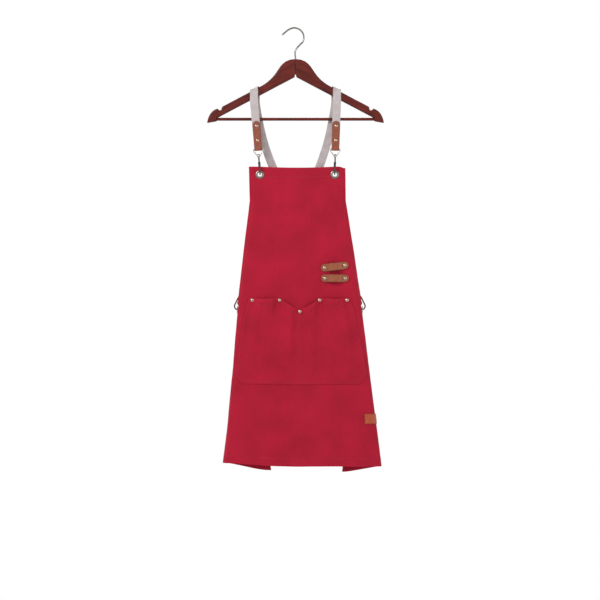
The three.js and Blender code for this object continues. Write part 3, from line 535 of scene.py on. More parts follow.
def waist_eyelet(side):
    """The middle of the side face just above the waist corner: its place along the cloth, and its height."""
    level = waist_z + 3
    front, bend, face, _, _ = runs_at(level, side)[0]
    return side * (front + bend + face / 2), level


held_points = [(s, z, 12, 34) for s, z in rivet_points]
held_points += [(s, z, 16, 48) for s, z in eyelet_points]
held_points += [(*waist_eyelet(side), 20, 55) for side in (-1, 1)]
creases = [(-46, 0.02, 0.9, 7), (-12, -0.015, 0.55, 9), (31, 0.012, 0.8, 6), (66, 0.03, 0.6, 8)]


def drape(s, z):
    """How far the cloth stands forward of its flat pattern, in mm."""
    down = ramp(z, waist_z + 40, hem_z)
    swing = noise.noise(Vector((s / 160, z / 240, 7.0)))
    lift = 3.4 * down * math.sin(s / 21 + 0.9 + 1.3 * swing)
    lift += 1.5 * down * math.sin(s / 11.5 + 2.0 + 1.8 * swing)
    bib = ramp(z, top_z - 20, top_z - 110) * (1 - ease(z, waist_z + 80, waist_z - 10))
    for start, lean, tall, wide in creases:
        away = (s - start - lean * (z - top_z)) / wide
        lift += bib * tall * math.exp(-away * away)
    for side, (eye_s, eye_z) in zip((1, -1), eyelet_points):
        along = (eye_z - z) * 0.8 + (s - eye_s) * side * 0.6
        across = (s - eye_s) * side * 0.8 - (eye_z - z) * 0.6
        if along > 0:
            lift += 1.5 * math.exp(-(across / 10) ** 2) * ramp(along, 8, 40) * math.exp(-along / 90)
    coarse, fine = noise.noise(Vector((s / 38, z / 60, 2.0))), noise.noise(Vector((s / 11, z / 15, 5.0)))
    lift += 0.7 * coarse + 0.25 * fine
    for held_s, held_z, near, far in held_points:
        lift *= ease(math.hypot(s - held_s, z - held_z), near, far)
    return lift


def settle(s, z):
    """How far a point of the cloth sits above its flat level, in mm: the sag, the corners and the hem."""
    top = ramp(z, top_z - 70, top_z)
    sag = -2.5 * (1 - (s / eyelet_half_spacing) ** 2) if abs(s) < eyelet_half_spacing else 0
    corner = -3.5 * ramp(s, 104, 115) ** 2
    rise = 8 * ease(-s, 40, 190) * ramp(z, waist_z, hem_z) ** 1.5
    side = -1 if s < 0 else 1
    lengths = runs_at(z, side)[0]
    behind = ease(abs(s), lengths[0] + lengths[1], sum(lengths)) * ramp(z, waist_z - 105, hem_z)
    wing_drop = 16 if s > 0 else 12
    return top * (sag + corner) + rise * (1 - behind) - wing_drop * behind


def on_cloth(s, z, away):
    """A point on the hanging cloth, 'away' mm in front of its middle, in mm."""
    point = round_section(s, z, away + drape(s, z))
    point.z += settle(s, z)
    return point


print("pattern: waist", round(waist_z), "hem", round(hem_z), "held points", len(held_points))


# %% [markdown]
# ## Making a mesh
# Each soft piece is a closed shell: a grid of front points, a grid of back points, and a rim that joins
# them, round the outside and round any hole. The shell also stores flat cloth coordinates and a wear value.

# %% Shells
def build(name, points, faces, material, body, cloth=None, wear_and_shade=None, sharp=35):
    """A smooth-shaded mesh piece from points in mm, riding on a body."""
    mesh = bpy.data.meshes.new(name)
    mesh.from_pydata([tuple(c * 0.001 for c in p) for p in points], [], faces)
    mesh.materials.append(material)
    mesh.shade_smooth()
    mesh.set_sharp_from_angle(angle=math.radians(sharp))
    if cloth is not None:
        flat = mesh.attributes.new("cloth", "FLOAT_VECTOR", "POINT")
        flat.data.foreach_set("vector", np.array(cloth, np.float32).ravel() * 0.001)
        tone = mesh.attributes.new("wear_and_shade", "FLOAT", "POINT")
        tone.data.foreach_set("value", np.array(wear_and_shade, np.float32))
    piece = bpy.data.objects.new(name, mesh)
    scene.collection.objects.link(piece)
    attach(piece, body)
    return piece


def stand_for(piece, *nodes):
    """The piece stands in for these CAD nodes, which are hidden."""
    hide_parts(*nodes)
    return piece


def shell(name, front, back, cloth, wear_and_shade, material, body, gone=lambda j, i: False, sharp=50):
    """A closed sheet from two grids of points; cells for which gone(j, i) is true are left out."""
    rows, columns = len(front), len(front[0])
    points = [p for row in front for p in row] + [p for row in back for p in row]
    under = rows * columns
    faces, edges = [], {}
    for j in range(rows - 1):
        for i in range(columns - 1):
            if gone(j, i):
                continue
            a, b = j * columns + i, j * columns + i + 1
            c, d = b + columns, a + columns
            faces.append((a, d, c, b))
            faces.append((a + under, b + under, c + under, d + under))
            for edge in ((a, d), (d, c), (c, b), (b, a)):
                edges[edge] = True
    for a, b in edges:
        if (b, a) not in edges:
            faces.append((b, a, a + under, b + under))
    used = sorted({k for face in faces for k in face})
    place = {k: n for n, k in enumerate(used)}
    flat = [c for row in cloth for c in row] * 2
    tone = [w for row in wear_and_shade for w in row] * 2
    return build(
        name, [points[k] for k in used], [tuple(place[k] for k in face) for face in faces], material, body,
        [flat[k] for k in used], [tone[k] for k in used], sharp,
    )


def spaced(start, end, step, edges=(0.35, 1.1)):
    """Values from start to end about a step apart, and closer at each end so that an edge can round off."""
    sign = 1 if end > start else -1
    inner_start, inner_end = start + sign * edges[-1], end - sign * edges[-1]
    count = max(1, round(abs(inner_end - inner_start) / step))
    between = [inner_start + (inner_end - inner_start) * k / count for k in range(count + 1)]
    first_edge, last_edge = [start + sign * e for e in edges[:-1]], [end - sign * e for e in edges[-2::-1]]
    return [start] + first_edge + between + last_edge + [end]


def rounded(distance, radius):
    """Share of the full thickness this far in from a soft edge."""
    inside = min(1.0, distance / radius)
    return max(0.3, math.sqrt(1 - (1 - inside) ** 2))


# %% [markdown]
# ## Stitching
# Lockstitch shows as short rounded dashes of thread, each about 3 mm long, that dip into the cloth at both
# ends. Each one is a small five-sided spindle laid along its seam. A bump would vanish at the cloth's
# edge and in a close view, so the stitches are real geometry.

# %% A row of stitches
stitch_pitch = 3.4
stitch_length = 2.7
thread_radius = 0.36


def stitches(rows):
    """Points and faces of the stitches along each row, a list of (point, outward direction) in mm."""
    points, faces = [], []
    rings = [(-0.5, 0.25, -0.25), (-0.28, 0.9, 0.1), (0.0, 1.0, 0.2), (0.28, 0.9, 0.1), (0.5, 0.25, -0.25)]
    sides = 5
    for row in rows:
        spots = np.array([p[:] for p, _ in row])
        steps = np.concatenate([[0], np.cumsum(np.linalg.norm(np.diff(spots, axis=0), axis=1))])
        normals = np.array([n[:] for _, n in row])
        for k in range(int(steps[-1] / stitch_pitch)):
            middle = (k + 0.5) * stitch_pitch
            at = Vector([np.interp(middle, steps, spots[:, c]) for c in range(3)])
            ahead = Vector([np.interp(middle + 1.2, steps, spots[:, c]) for c in range(3)])
            behind = Vector([np.interp(middle - 1.2, steps, spots[:, c]) for c in range(3)])
            up = Vector([np.interp(middle, steps, normals[:, c]) for c in range(3)]).normalized()
            along = (ahead - behind).normalized()
            side = along.cross(up).normalized()
            first = len(points)
            for reach, fat, high in rings:
                centre = at + along * (reach * stitch_length) + up * high
                for turn in range(sides):
                    angle = 2 * math.pi * turn / sides
                    outward = side * math.cos(angle) + up * math.sin(angle)
                    points.append(centre + thread_radius * fat * outward)
            for ring in range(len(rings) - 1):
                for turn in range(sides):
                    a = first + ring * sides + turn
                    b = first + ring * sides + (turn + 1) % sides
                    faces.append((a, b, b + sides, a + sides))
            last = first + (len(rings) - 1) * sides
            faces.append(tuple(range(first + sides - 1, first - 1, -1)))
            faces.append(tuple(range(last, last + sides)))
    return points, faces


def stitch_piece(name, rows, material=None):
    points, faces = stitches(rows)
    piece = build(name, points, faces, material or thread_finish, "garment", sharp=80)
    print(name, len(faces) // 22, "stitches")
    return piece


def seam(places, surface, away):
    """A seam through (s, z) places on a surface function, as points with outward directions."""
    row = []
    for s, z in places:
        at = surface(s, z, away)
        row.append((at, (surface(s, z, away + 1) - at).normalized()))
    return row


def line(start, end, step=6):
    """Evenly spaced (s, z) places from start to end."""
    count = max(2, round(math.hypot(end[0] - start[0], end[1] - start[1]) / step))
    return [tuple(a + (b - a) * k / count for a, b in zip(start, end)) for k in range(count + 1)]


# %% [markdown]
# ## The apron
# One piece of canvas with folded hems: 12 mm down the sides, 26 mm along the top and 22 mm along the
# bottom. The hems fold to the back, so from the front they show as stitch lines with faint puckers, and
# from behind as thicker bands. The cells under each eyelet are left out, so the cloth has real holes.

# %% Apron sheet
side_hem, top_hem, bottom_hem = 12, 26, 22
fold_thickness = 1.1
cell = 3.4


def run_columns():
    """Columns of one half as (run, share of the run), so that bends always fall on the same columns."""
    columns = [(0, k / 46) for k in range(46)]
    columns += [(1, k / 7) for k in range(7)] + [(2, k / 7) for k in range(7)] + [(3, k / 7) for k in range(7)]
    columns += [(4, k / 22) for k in range(22)] + [(4, 0.985), (4, 1.0)]
    return columns


def cloth_columns(z):
    """Where the columns lie across the whole width at this height, in mm from the centre line."""
    across = []
    for side in (-1, 1):
        lengths = runs_at(z, side)[0]
        reach = [sum(lengths[:run]) + lengths[run] * share for run, share in run_columns()]
        across.append([side * r for r in reach])
    return across[0][:0:-1] + across[1]


def pucker(distance, along):
    """Small waves of the cloth beside a row of stitches."""
    return 0.16 * math.sin(along / 1.55 + 0.6 * math.sin(along / 9)) * math.exp(-(distance / 6) ** 2)


def apron_grids():
    levels = spaced(top_z, hem_z, cell)
    front, back, cloth, wear_and_shade = [], [], [], []
    for z in levels:
        front.append([])
        back.append([])
        cloth.append([])
        wear_and_shade.append([])
        edge_left = cloth_half_width(z, -1)
        edge_right = cloth_half_width(z, 1)
        for s in cloth_columns(z):
            to_side = s + edge_left if s < 0 else edge_right - s
            to_top, to_bottom = top_z - z, z - hem_z
            soft = rounded(min(to_side, to_top, to_bottom), 1.1)
            band = max(
                1 - ramp(to_side, side_hem, side_hem + 1.5), 1 - ramp(to_top, top_hem, top_hem + 1.5),
                1 - ramp(to_bottom, bottom_hem, bottom_hem + 1.5),
            )
            ruck = pucker(to_side - side_hem + 1, z) + pucker(to_top - top_hem + 2, s)
            ruck += pucker(to_bottom - bottom_hem + 2, s)
            front[-1].append(on_cloth(s, z, cloth_half * soft + ruck))
            back[-1].append(on_cloth(s, z, -(cloth_half + fold_thickness * band) * soft + ruck))
            cloth[-1].append((s, z, 0))
            wear_and_shade[-1].append(0.28 * math.exp(-min(to_side, to_top, to_bottom) / 1.6))
    return levels, front, back, cloth, wear_and_shade


levels, front, back, cloth, wear_and_shade = apron_grids()
eyelets_at = [on_cloth(s, z, 0) for s, z in eyelet_points]
eyelets_at += [on_cloth(*waist_eyelet(side), 0) for side in (-1, 1)]


def under_eyelet(j, i):
    """Whether a cell of the cloth lies inside an eyelet's flange."""
    middle = (front[j][i] + front[j + 1][i + 1]) / 2
    return any((middle - eye).length < 7.6 for eye in eyelets_at)


apron = shell("apron_cloth", front, back, cloth, wear_and_shade, canvas, "garment", under_eyelet)
stand_for(apron, "apron_panel")

print("apron faces", len(apron.data.polygons))

# %% Apron stitching
levels_down = [top_z - 4 - k * 6 for k in range(124)]
side_rows = [
    seam([(side * (cloth_half_width(z, side) - side_hem + 1), z) for z in levels_down], on_cloth, cloth_half)
    for side in (-1, 1)
]
top_rows = [
    seam(line((-bib_half + 4, top_z - d), (bib_half - 4, top_z - d)), on_cloth, cloth_half)
    for d in (4, top_hem - 2)
]
hem_line = hem_z + bottom_hem - 2
hem_row = seam(
    line((-cloth_half_width(hem_line, -1) + 5, hem_line), (cloth_half_width(hem_line, 1) - 5, hem_line)),
    on_cloth, cloth_half,
)
apron_thread = stitch_piece("apron_hem_stitching", side_rows + top_rows + [hem_row])

# %% [markdown]
# ## The pocket
# A second layer of canvas is sewn on round its sides and bottom. Rivets hold its mouth, so the cloth between
# them swells into two pouches. The mouth has a rolled hem that stands fatter than the rest, and dips to the
# middle rivet. It is placed on the apron's own surface, and not floated in front of it.

# %% Pocket sheet
pocket_height, pocket_half_bottom = 216.5, 168
pocket_bulge, pocket_corner = 8.5, 34
mouth_hem = 15


def pocket_half_at(share):
    """Half the pocket's width at this share of its height, with rounded bottom corners."""
    run = pocket_half_top + (pocket_half_bottom - pocket_half_top) * share ** 0.75
    near = max(0, share * pocket_height - (pocket_height - pocket_corner)) / pocket_corner
    return run - pocket_corner * (1 - math.sqrt(max(0, 1 - near * near * 0.985)))


def pouch(u, v):
    """How far the pocket stands off the apron: u is -1 to 1 across, v is 0 at the mouth and 1 below."""
    off = abs(u)
    across = ease(off, 0.05, 0.18) * ease(1 - off, 0.08, 0.22)
    pinch = 1 - (1 - ease(abs(off - 0.4), 0.02, 0.15)) * (1 - ease(v, 0.06, 0.3))
    down = math.cos(math.pi / 2 * v ** 1.4)
    crumple = 1 + 0.22 * noise.noise(Vector((u * 5, v * 3, 1.0)))
    crumple += 0.1 * noise.noise(Vector((u * 17, v * 7, 4.0)))
    return pocket_bulge * across * pinch * down * crumple


def mouth_at(u):
    """The mouth's height at u. Between rivets the hem sags a little under its own weight."""
    off = abs(u)
    straight = pocket_top - pocket_dip * (1 - ramp(off, 0.04, 0.4))
    slack = math.sin(math.pi * ramp(off, 0.42, 0.97)) * 2.6 + math.sin(math.pi * ramp(off, 0.06, 0.38)) * 1.6
    return straight - slack


def pocket_point(u, v, away):
    """A point of the pocket, in mm, and its (s, z) place on the apron."""
    bottom = pocket_top - pocket_height
    z = mouth_at(u) + (bottom - mouth_at(u)) * v
    s = u * pocket_half_at((pocket_top - z) / pocket_height)
    return on_cloth(s, z, cloth_half + 0.5 + pouch(u, v) + away), (s, z)


def pocket_grids():
    across = spaced(-1, 1, 0.021, edges=(0.0025, 0.008))
    down = spaced(0, 1, 0.016, edges=(0.0018, 0.005))
    front, back, cloth, wear_and_shade = [], [], [], []
    for v in down:
        rows = [[], [], [], []]
        for u in across:
            below_mouth = v * pocket_height
            to_edge = min((1 - abs(u)) * 130, (1 - v) * pocket_height)
            roll = (1 - ease(below_mouth, mouth_hem - 1, mouth_hem + 2)) * ease(abs(u), 0.04, 0.09)
            bead = roll * (0.5 + 0.9 * math.sin(math.pi * ramp(below_mouth, 0, mouth_hem)))
            soft = rounded(min(to_edge, below_mouth), 1.2)
            ruck = pucker(to_edge - 3, u * 130 + v * pocket_height) + pucker(below_mouth - mouth_hem, u * 130)
            face, place = pocket_point(u, v, (1.1 + bead) * soft + ruck)
            inside, _ = pocket_point(u, v, -0.1 * soft + 0.1)
            rows[0].append(face)
            rows[1].append(inside)
            rows[2].append((place[0] + 700, place[1], 0))
            rows[3].append(0.3 * math.exp(-min(to_edge, below_mouth) / 1.6) + 0.12 * roll)
        for grid, row in zip((front, back, cloth, wear_and_shade), rows):
            grid.append(row)
    return across, down, front, back, cloth, wear_and_shade


across, down, front, back, cloth, wear_and_shade = pocket_grids()
pocket = shell("pocket_cloth", front, back, cloth, wear_and_shade, canvas, "garment")
stand_for(pocket, "pocket_panel")


# %% Pocket stitching
def pocket_seam(places, away=1.15):
    """A seam through (u, v) places on the pocket's face."""
    row = []
    for u, v in places:
        at = pocket_point(u, v, away)[0]
        row.append((at, (pocket_point(u, v, away + 1)[0] - at).normalized()))
    return row


def round_pocket(inset):
    """The (u, v) places of a seam that follows the pocket's sides and bottom, that many mm in."""
    side_u, low_v = 1 - inset / 130, 1 - inset / pocket_height
    path = [(-side_u, 0.02 + k * (low_v - 0.06) / 36) for k in range(37)]
    path += [(-side_u + (k + 1) * 2 * side_u / 61, low_v) for k in range(60)]
    path += [(side_u, low_v - 0.04 - k * (low_v - 0.06) / 36) for k in range(37)]
    return path


pocket_rows = [pocket_seam(round_pocket(3)), pocket_seam(round_pocket(9))]
for edge in (2.5, mouth_hem - 1):
    v = edge / pocket_height
    lift = 1.1 + (0.5 + 0.9 * math.sin(math.pi * ramp(edge, 0, mouth_hem)))
    for start, end in ((-0.95, -0.46), (-0.34, -0.09), (0.09, 0.34), (0.46, 0.95)):
        pocket_rows.append(pocket_seam([(u, v) for u, _ in line((start, 0), (end, 0), 0.02)], lift))
for u in (-0.022, 0.022):
    pocket_rows.append(pocket_seam([(u, 0.06 + 0.9 * k / 40) for k in range(41)]))
pocket_thread = stitch_piece("pocket_stitching", pocket_rows)

# %% [markdown]
# ## Bands
# Straps, tabs and loops are all long strips, so one function makes them. It takes stations along the strip,
# each a middle and the direction of the strip's width, and gives the strip rounded edges. The width may
# change along it, which makes the round end of a leather tab.

# %% Strips
def strip(name, stations, widths, thickness, material, body, wear_reach=0.0, columns=10, sharp=60):
    """A closed strip through (middle, across) stations in mm, with a width at each."""
    places = [at for at, _ in stations]
    front, back, cloth, wear_and_shade = [], [], [], []
    travelled = 0.0
    for k, ((at, across), width) in enumerate(zip(stations, widths)):
        ahead = (places[min(k + 1, len(places) - 1)] - places[max(k - 1, 0)]).normalized()
        sideways = (across - ahead * across.dot(ahead)).normalized()
        outward = sideways.cross(ahead)
        travelled += (at - places[max(k - 1, 0)]).length
        rows = [[], [], [], []]
        for i in range(columns + 1):
            share = math.sin((i / columns - 0.5) * math.pi) * 0.35 + (i / columns - 0.5) * 1.3
            share = max(-1.0, min(1.0, share))
            off = share * width / 2
            edge = width / 2 - abs(off)
            fat = thickness / 2 * rounded(edge, thickness / 2)
            middle = at + sideways * off
            rows[0].append(middle + outward * fat)
            rows[1].append(middle - outward * fat)
            rows[2].append((off, travelled, 0))
            ends = min((at - places[0]).length, (at - places[-1]).length) if wear_reach else 99
            rows[3].append(0.75 * math.exp(-min(edge, ends) / wear_reach) if wear_reach else 0.0)
        for grid, row in zip((front, back, cloth, wear_and_shade), rows):
            grid.append(row)
    piece = shell(name, front, back, cloth, wear_and_shade, material, body, sharp=sharp)
    return piece, travelled


# %% [markdown]
# ## Where the snaps hang
# Each snap hook hangs in its eyelet with the strap's pull in line with it. The bib's two point up to the
# hanger arms. The waist's two lean in, because the straps cross behind. Every strap, tab and slider is drawn
# in its snap's own frame, as the CAD draws it.

# %% Snap frames
strap_plane = -8.4
strap_half_spacing = 103.5
web_width, web_thick, layer = 20, 1.6, 1.1
snap_to_bar = 53.4
arm_slope = math.radians(27.8)
neck_point_z, arm_height = -120, 19
strap_drift = 4
rear_straight = 105


def arm_top_at(x):
    """Height of the hanger arm's top over x, in mm."""
    return neck_point_z - math.tan(arm_slope) * x + arm_height / math.cos(arm_slope)


def frame_at(place, upward, hook_plane):
    """A frame in mm whose Z runs up the strap and whose Y lies in the hook's plane."""
    z = Vector(upward).normalized()
    x = Vector(hook_plane).cross(z).normalized()
    y = z.cross(x)
    rows = [(x[k], y[k], z[k], place[k]) for k in range(3)]
    return Matrix((*rows, (0, 0, 0, 1)))


def front_frame(side):
    eye_x = centre_at(bib_eyelet_z) + side * eyelet_half_spacing
    bend = Vector((eye_x, strap_plane, bib_eyelet_z + 10))
    over = Vector((side * strap_half_spacing, strap_plane, arm_top_at(strap_half_spacing)))
    return frame_at(bend, over - bend, (0, 1, 0))


def rear_frame(side):
    eye = round_section(*waist_eyelet(side), 0)
    lean = math.radians(26)
    return frame_at(
        (eye.x + side * 0.25, eye.y, eye.z + 10), (-side * math.sin(lean), 0, math.cos(lean)), (-side, 0, 0),
    )


front_frames = {side: front_frame(side) for side in (-1, 1)}
rear_frames = {side: rear_frame(side) for side in (-1, 1)}
print("front snap bends at", [[round(c) for c in f.translation] for f in front_frames.values()])

# %% [markdown]
# ## Webbing straps
# Each strap is one length of webbing: out of the leather tab, over the hanger arm, down the back across the
# other strap, round the rear snap's eye and back up through the slider. It is a flat band laid along that
# route, because a strap in tension keeps its own width and only bends one way.

# %% Strap route
def web_route(side):
    """The stations of one strap from its tab to its free tail, in mm."""
    front, rear = front_frames[side], rear_frames[-side]
    x, reach, corner = side * strap_half_spacing, -strap_plane, 3.2
    arm_top = arm_top_at(strap_half_spacing)
    level = Vector((1, 0, 0))
    sloped = Vector((math.cos(arm_slope), 0, -side * math.sin(arm_slope)))
    crown = arm_top + web_thick / 2 + 2.1
    route = []
    low, high = front @ Vector((0, 0, snap_to_bar + 12)), Vector((x, -reach, arm_top - 30))
    route += [(low.lerp(high, k / 16), level) for k in range(17)]
    for k in range(1, 7):
        route.append((Vector((x, -reach, arm_top - 30 + 18 * k / 6)), level.lerp(sloped, 0.06 * k)))
    for facing in (-1, 1):
        for k in range(9):
            turn = math.pi / 2 * (k / 8 if facing < 0 else 1 - k / 8)
            y = facing * (reach - corner * (1 - math.cos(turn)))
            drift = side * strap_drift * (y + reach) / (2 * reach)
            rise = side * math.tan(arm_slope) * drift
            route.append((Vector((x - drift, y, crown + rise + corner * (math.sin(turn) - 1))), sloped))
    behind_x = x - side * strap_drift
    for k in range(6):
        route.append((Vector((behind_x, reach, arm_top - 12 - 18 * k / 6)), sloped.lerp(level, k / 6)))
    start = Vector((behind_x, reach, arm_top - 30))
    end = rear @ Vector((0, -layer, snap_to_bar + rear_straight))
    bar = rear @ Vector((0, -layer, snap_to_bar))
    arrive = (bar - end).normalized()
    span = (start - end).length
    behind = Vector((0, 14 if side < 0 else 0, 0))
    pull_one = start + Vector((-side * 0.13, 0, -0.99)) * 0.62 * span + behind
    pull_two = end - arrive * 0.15 * span + behind
    eye_across = rear.to_3x3() @ Vector((1, 0, 0))
    for k in range(61):
        t = k / 60
        near_start, near_end = 3 * (1 - t) ** 2 * t, 3 * (1 - t) * t * t
        at = (1 - t) ** 3 * start + near_start * pull_one + near_end * pull_two + t ** 3 * end
        quarter = ease(t, 0.45, 1) * math.pi / 2
        route.append((at, level * math.cos(quarter) + eye_across * math.sin(quarter)))
    loop = 1.3 + 0.3 + web_thick / 2
    flat = [(-layer, snap_to_bar + rear_straight - k * 7) for k in range(1, 14)]
    for k in range(13):
        turn = k * math.pi / 12
        flat.append((-loop * math.cos(turn), snap_to_bar - loop * math.sin(turn)))
    flat += [(layer, snap_to_bar + 14 + k * 7) for k in range(11)]
    route += [(rear @ Vector((0, y, z)), eye_across) for y, z in flat]
    return route


web_lengths = {}
for word, side in (("left", -1), ("right", 1)):
    route = web_route(side)
    tuck = [web_width * (1 - 0.012 * math.sin(k * 0.7)) for k in range(len(route))]
    webbing, web_lengths[word] = strip(
        f"strap_{word}", route, tuck, web_thick, webbing_finish, "garment", columns=12,
    )
    stand_for(webbing, f"webbing_{word}")
    print(webbing.name, round(web_lengths[word]), "mm long")

# %% [markdown]
# ## Leather tabs
# A tab is one strip of leather folded round the snap's eye, with its two round ends on either side of the
# webbing and two rivets through all of it. The strip's width follows a circle near its ends.

# %% Tabs
tab_length, tab_width, leather_thick, tab_room = 74, 19.5, 2.2, 1.6
tab_middle = tab_room + leather_thick / 2
tab_top = snap_to_bar - tab_room - leather_thick + tab_length

for word, side in (("left", -1), ("right", 1)):
    fr = front_frames[side]
    run = tab_top - snap_to_bar
    half = tab_width / 2
    drops = [0, 0.25, 0.7, 1.4, 2.4, 3.8, 5.6, 7.6, half]
    drops += [half + (run - half) * k / 14 for k in range(1, 15)]
    path = [(-tab_middle, tab_top - d) for d in drops]
    path += [
        (-tab_middle * math.cos(k * math.pi / 10), snap_to_bar - tab_middle * math.sin(k * math.pi / 10))
        for k in range(1, 10)
    ]
    path += [(tab_middle, tab_top - d) for d in reversed(drops)]
    shape = [2 * math.sqrt(max(0.4, half ** 2 - (half - min(d, half)) ** 2)) for d in drops]
    shape = shape + [tab_width] * 9 + shape[::-1]
    tilt = fr.to_3x3() @ Vector((1, 0, 0))
    tab, _ = strip(
        f"leather_tab_{word}", [(fr @ Vector((0, y, z)), tilt) for y, z in path], shape, leather_thick,
        tab_leather, "garment", wear_reach=0.9, columns=14,
    )
    stand_for(tab, f"front_{word}_tab")
print("tabs", tab_length, "mm long,", leather_thick, "mm thick")

# %% [markdown]
# ## Tool loops and patch
# Each loop is a band with round ends, riveted at both and bowed forward between them to take a handle.
# The patch is thin leather sewn flat near the hem. Its face stays plain.

# %% Tool loops
loop_span, loop_band, loop_bow = 70, 19.5, 8
loop_rivet_half = (loop_span - loop_band) / 2

for word, tilt in (("upper", math.radians(7)), ("lower", 0.0)):
    low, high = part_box(f"tool_loop_{word}")
    middle_x, middle_z = (low.x + high.x) * 500, (low.z + high.z) * 500
    along = Vector((math.cos(tilt), 0, math.sin(tilt)))
    sideways = Vector((-math.sin(tilt), 0, math.cos(tilt)))
    half, round_end = loop_span / 2, loop_band / 2
    steps = [0, 0.25, 0.7, 1.4, 2.4, 3.8, 5.6, 7.6, round_end]
    offs = [-half + d for d in steps]
    offs += [-half + round_end + (loop_span - loop_band) * k / 30 for k in range(1, 30)]
    offs += [half - d for d in reversed(steps)]
    stations, widths = [], []
    for off in offs:
        bowed = min(1, abs(off) / (loop_rivet_half - 6))
        rise = loop_bow * math.cos(math.pi / 2 * bowed) ** 0.8 if bowed < 1 else 0
        middle = Vector((middle_x, bib_plane - 1.5 - rise - leather_thick / 2, middle_z))
        stations.append((middle + along * off, -sideways))
        from_end = min(half - abs(off), round_end)
        widths.append(2 * math.sqrt(max(0.4, round_end ** 2 - (round_end - from_end) ** 2)))
    loop, _ = strip(f"tool_band_{word}", stations, widths, leather_thick, loop_leather, "garment", 0.9, 14)
    stand_for(loop, f"tool_loop_{word}")
print("loops", loop_span, "x", loop_band, "mm")

# %% Leather patch
label_width, label_height, label_thick = 38, 26, 1.6
label_drop, label_reach = 629, 14
label_top = top_z - label_drop + label_height / 2
label_start = runs_at(label_top, 1)[0][0] - label_reach
front, back, cloth, wear_and_shade = [], [], [], []
for z in spaced(label_top, label_top - label_height, 1.6):
    rows = [[], [], [], []]
    for s in spaced(label_start, label_start + label_width, 1.6):
        to_side = min(s - label_start, label_start + label_width - s)
        to_edge = min(to_side, label_top - z, z - label_top + label_height)
        soft = rounded(to_edge, 0.8)
        groove = -0.35 * math.exp(-((to_edge - 2.2) / 0.6) ** 2)
        rows[0].append(on_cloth(s, z, cloth_half + 0.35 + label_thick * soft + groove))
        rows[1].append(on_cloth(s, z, cloth_half + 0.35))
        rows[2].append((s, z, 0))
        rows[3].append(0.75 * math.exp(-to_edge / 0.9))
    for grid, row in zip((front, back, cloth, wear_and_shade), rows):
        grid.append(row)
patch = shell("leather_patch", front, back, cloth, wear_and_shade, patch_leather, "garment")
stand_for(patch, "side_label")

box_line = line((label_start + 2.2, label_top - 2.2), (label_start + label_width - 2.2, label_top - 2.2), 2)
box_line += line(box_line[-1], (box_line[-1][0], label_top - label_height + 2.2), 2)[1:]
box_line += line(box_line[-1], (label_start + 2.2, box_line[-1][1]), 2)[1:]
box_line += line(box_line[-1], (label_start + 2.2, label_top - 2.2), 2)[1:]
stitch_piece("patch_stitching", [seam(box_line, on_cloth, cloth_half + 0.3 + label_thick)])

# %% [markdown]
# ## How the cloth hangs
# The apron hangs from its four snap hooks. The pocket is held flat by its seams.

# %% [markdown]
# ## Rivets and eyelets
# Rivets and eyelets are stamped from sheet on round tools, so they are turned shapes. A profile swept round
# an axis in 32 or 48 steps gives a true round edge. Each rivet takes its place and size from its CAD node, and
# each bib eyelet its place.

# %% Turned shapes
def turned(name, profile, matrix, material, body, segments=32, sharp=45):
    """A closed turned piece from (radius, distance along the axis) points, with the axis along Z."""
    points, faces, rings = [], [], []
    for radius, along in profile:
        if radius < 1e-6:
            rings.append([len(points)])
            points.append(matrix @ Vector((0, 0, along)))
        else:
            rings.append([len(points) + k for k in range(segments)])
            for k in range(segments):
                angle = 2 * math.pi * k / segments
                points.append(matrix @ Vector((radius * math.cos(angle), radius * math.sin(angle), along)))
    for one, two in zip(rings, rings[1:]):
        for k in range(segments):
            a, b = one[k % len(one)], one[(k + 1) % len(one)]
            c, d = two[(k + 1) % len(two)], two[k % len(two)]
            face = [n for i, n in enumerate((a, b, c, d)) if n not in (a, b, c, d)[:i]]
            if len(face) > 2:
                faces.append(tuple(face))
    return build(name, points, faces, material, body, sharp=sharp)


def facing(place, outward):
    """A frame in mm whose Z points out of the cloth."""
    turn = Vector((0, 0, 1)).rotation_difference(Vector(outward)).to_matrix().to_4x4()
    return Matrix.Translation(place) @ turn


# %% Rivets
def rivet(node):
    """A domed cap with a struck ring, a shank and a flat cap behind, where the CAD's rivet is."""
    low, high = (c * 1000 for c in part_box(node))
    head = (high.x - low.x) / 2
    depth = high.y - low.y
    place = facing(((low.x + high.x) / 2, high.y, (low.z + high.z) / 2), (0, -1, 0))
    dome = [(head * math.cos(a), depth - 2.0 + 1.6 * math.sin(a)) for a in (0.0, 0.25, 0.5, 0.8)]
    ring = [(head * 0.60, depth - 0.62), (head * 0.52, depth - 0.72), (head * 0.44, depth - 0.5)]
    crown = [(head * 0.3, depth - 0.2), (head * 0.15, depth - 0.04), (0, depth)]
    back_cap = [(0, 0), (head * 0.5, 0.05), (head * 0.82, 0.3), (head * 0.88, 0.7), (head * 0.5, 0.9), (1.5, 1.0)]
    under = [(1.5, depth - 2.6), (head * 0.7, depth - 2.5), (head * 0.96, depth - 2.4)]
    name = node.replace("rivet", "stud")
    return stand_for(turned(name, back_cap + under + dome + ring + crown, place, antique, "garment"), node)


rivets = [rivet(node) for node in sorted(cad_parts) if "rivet" in node]
print(len(rivets), "rivets")


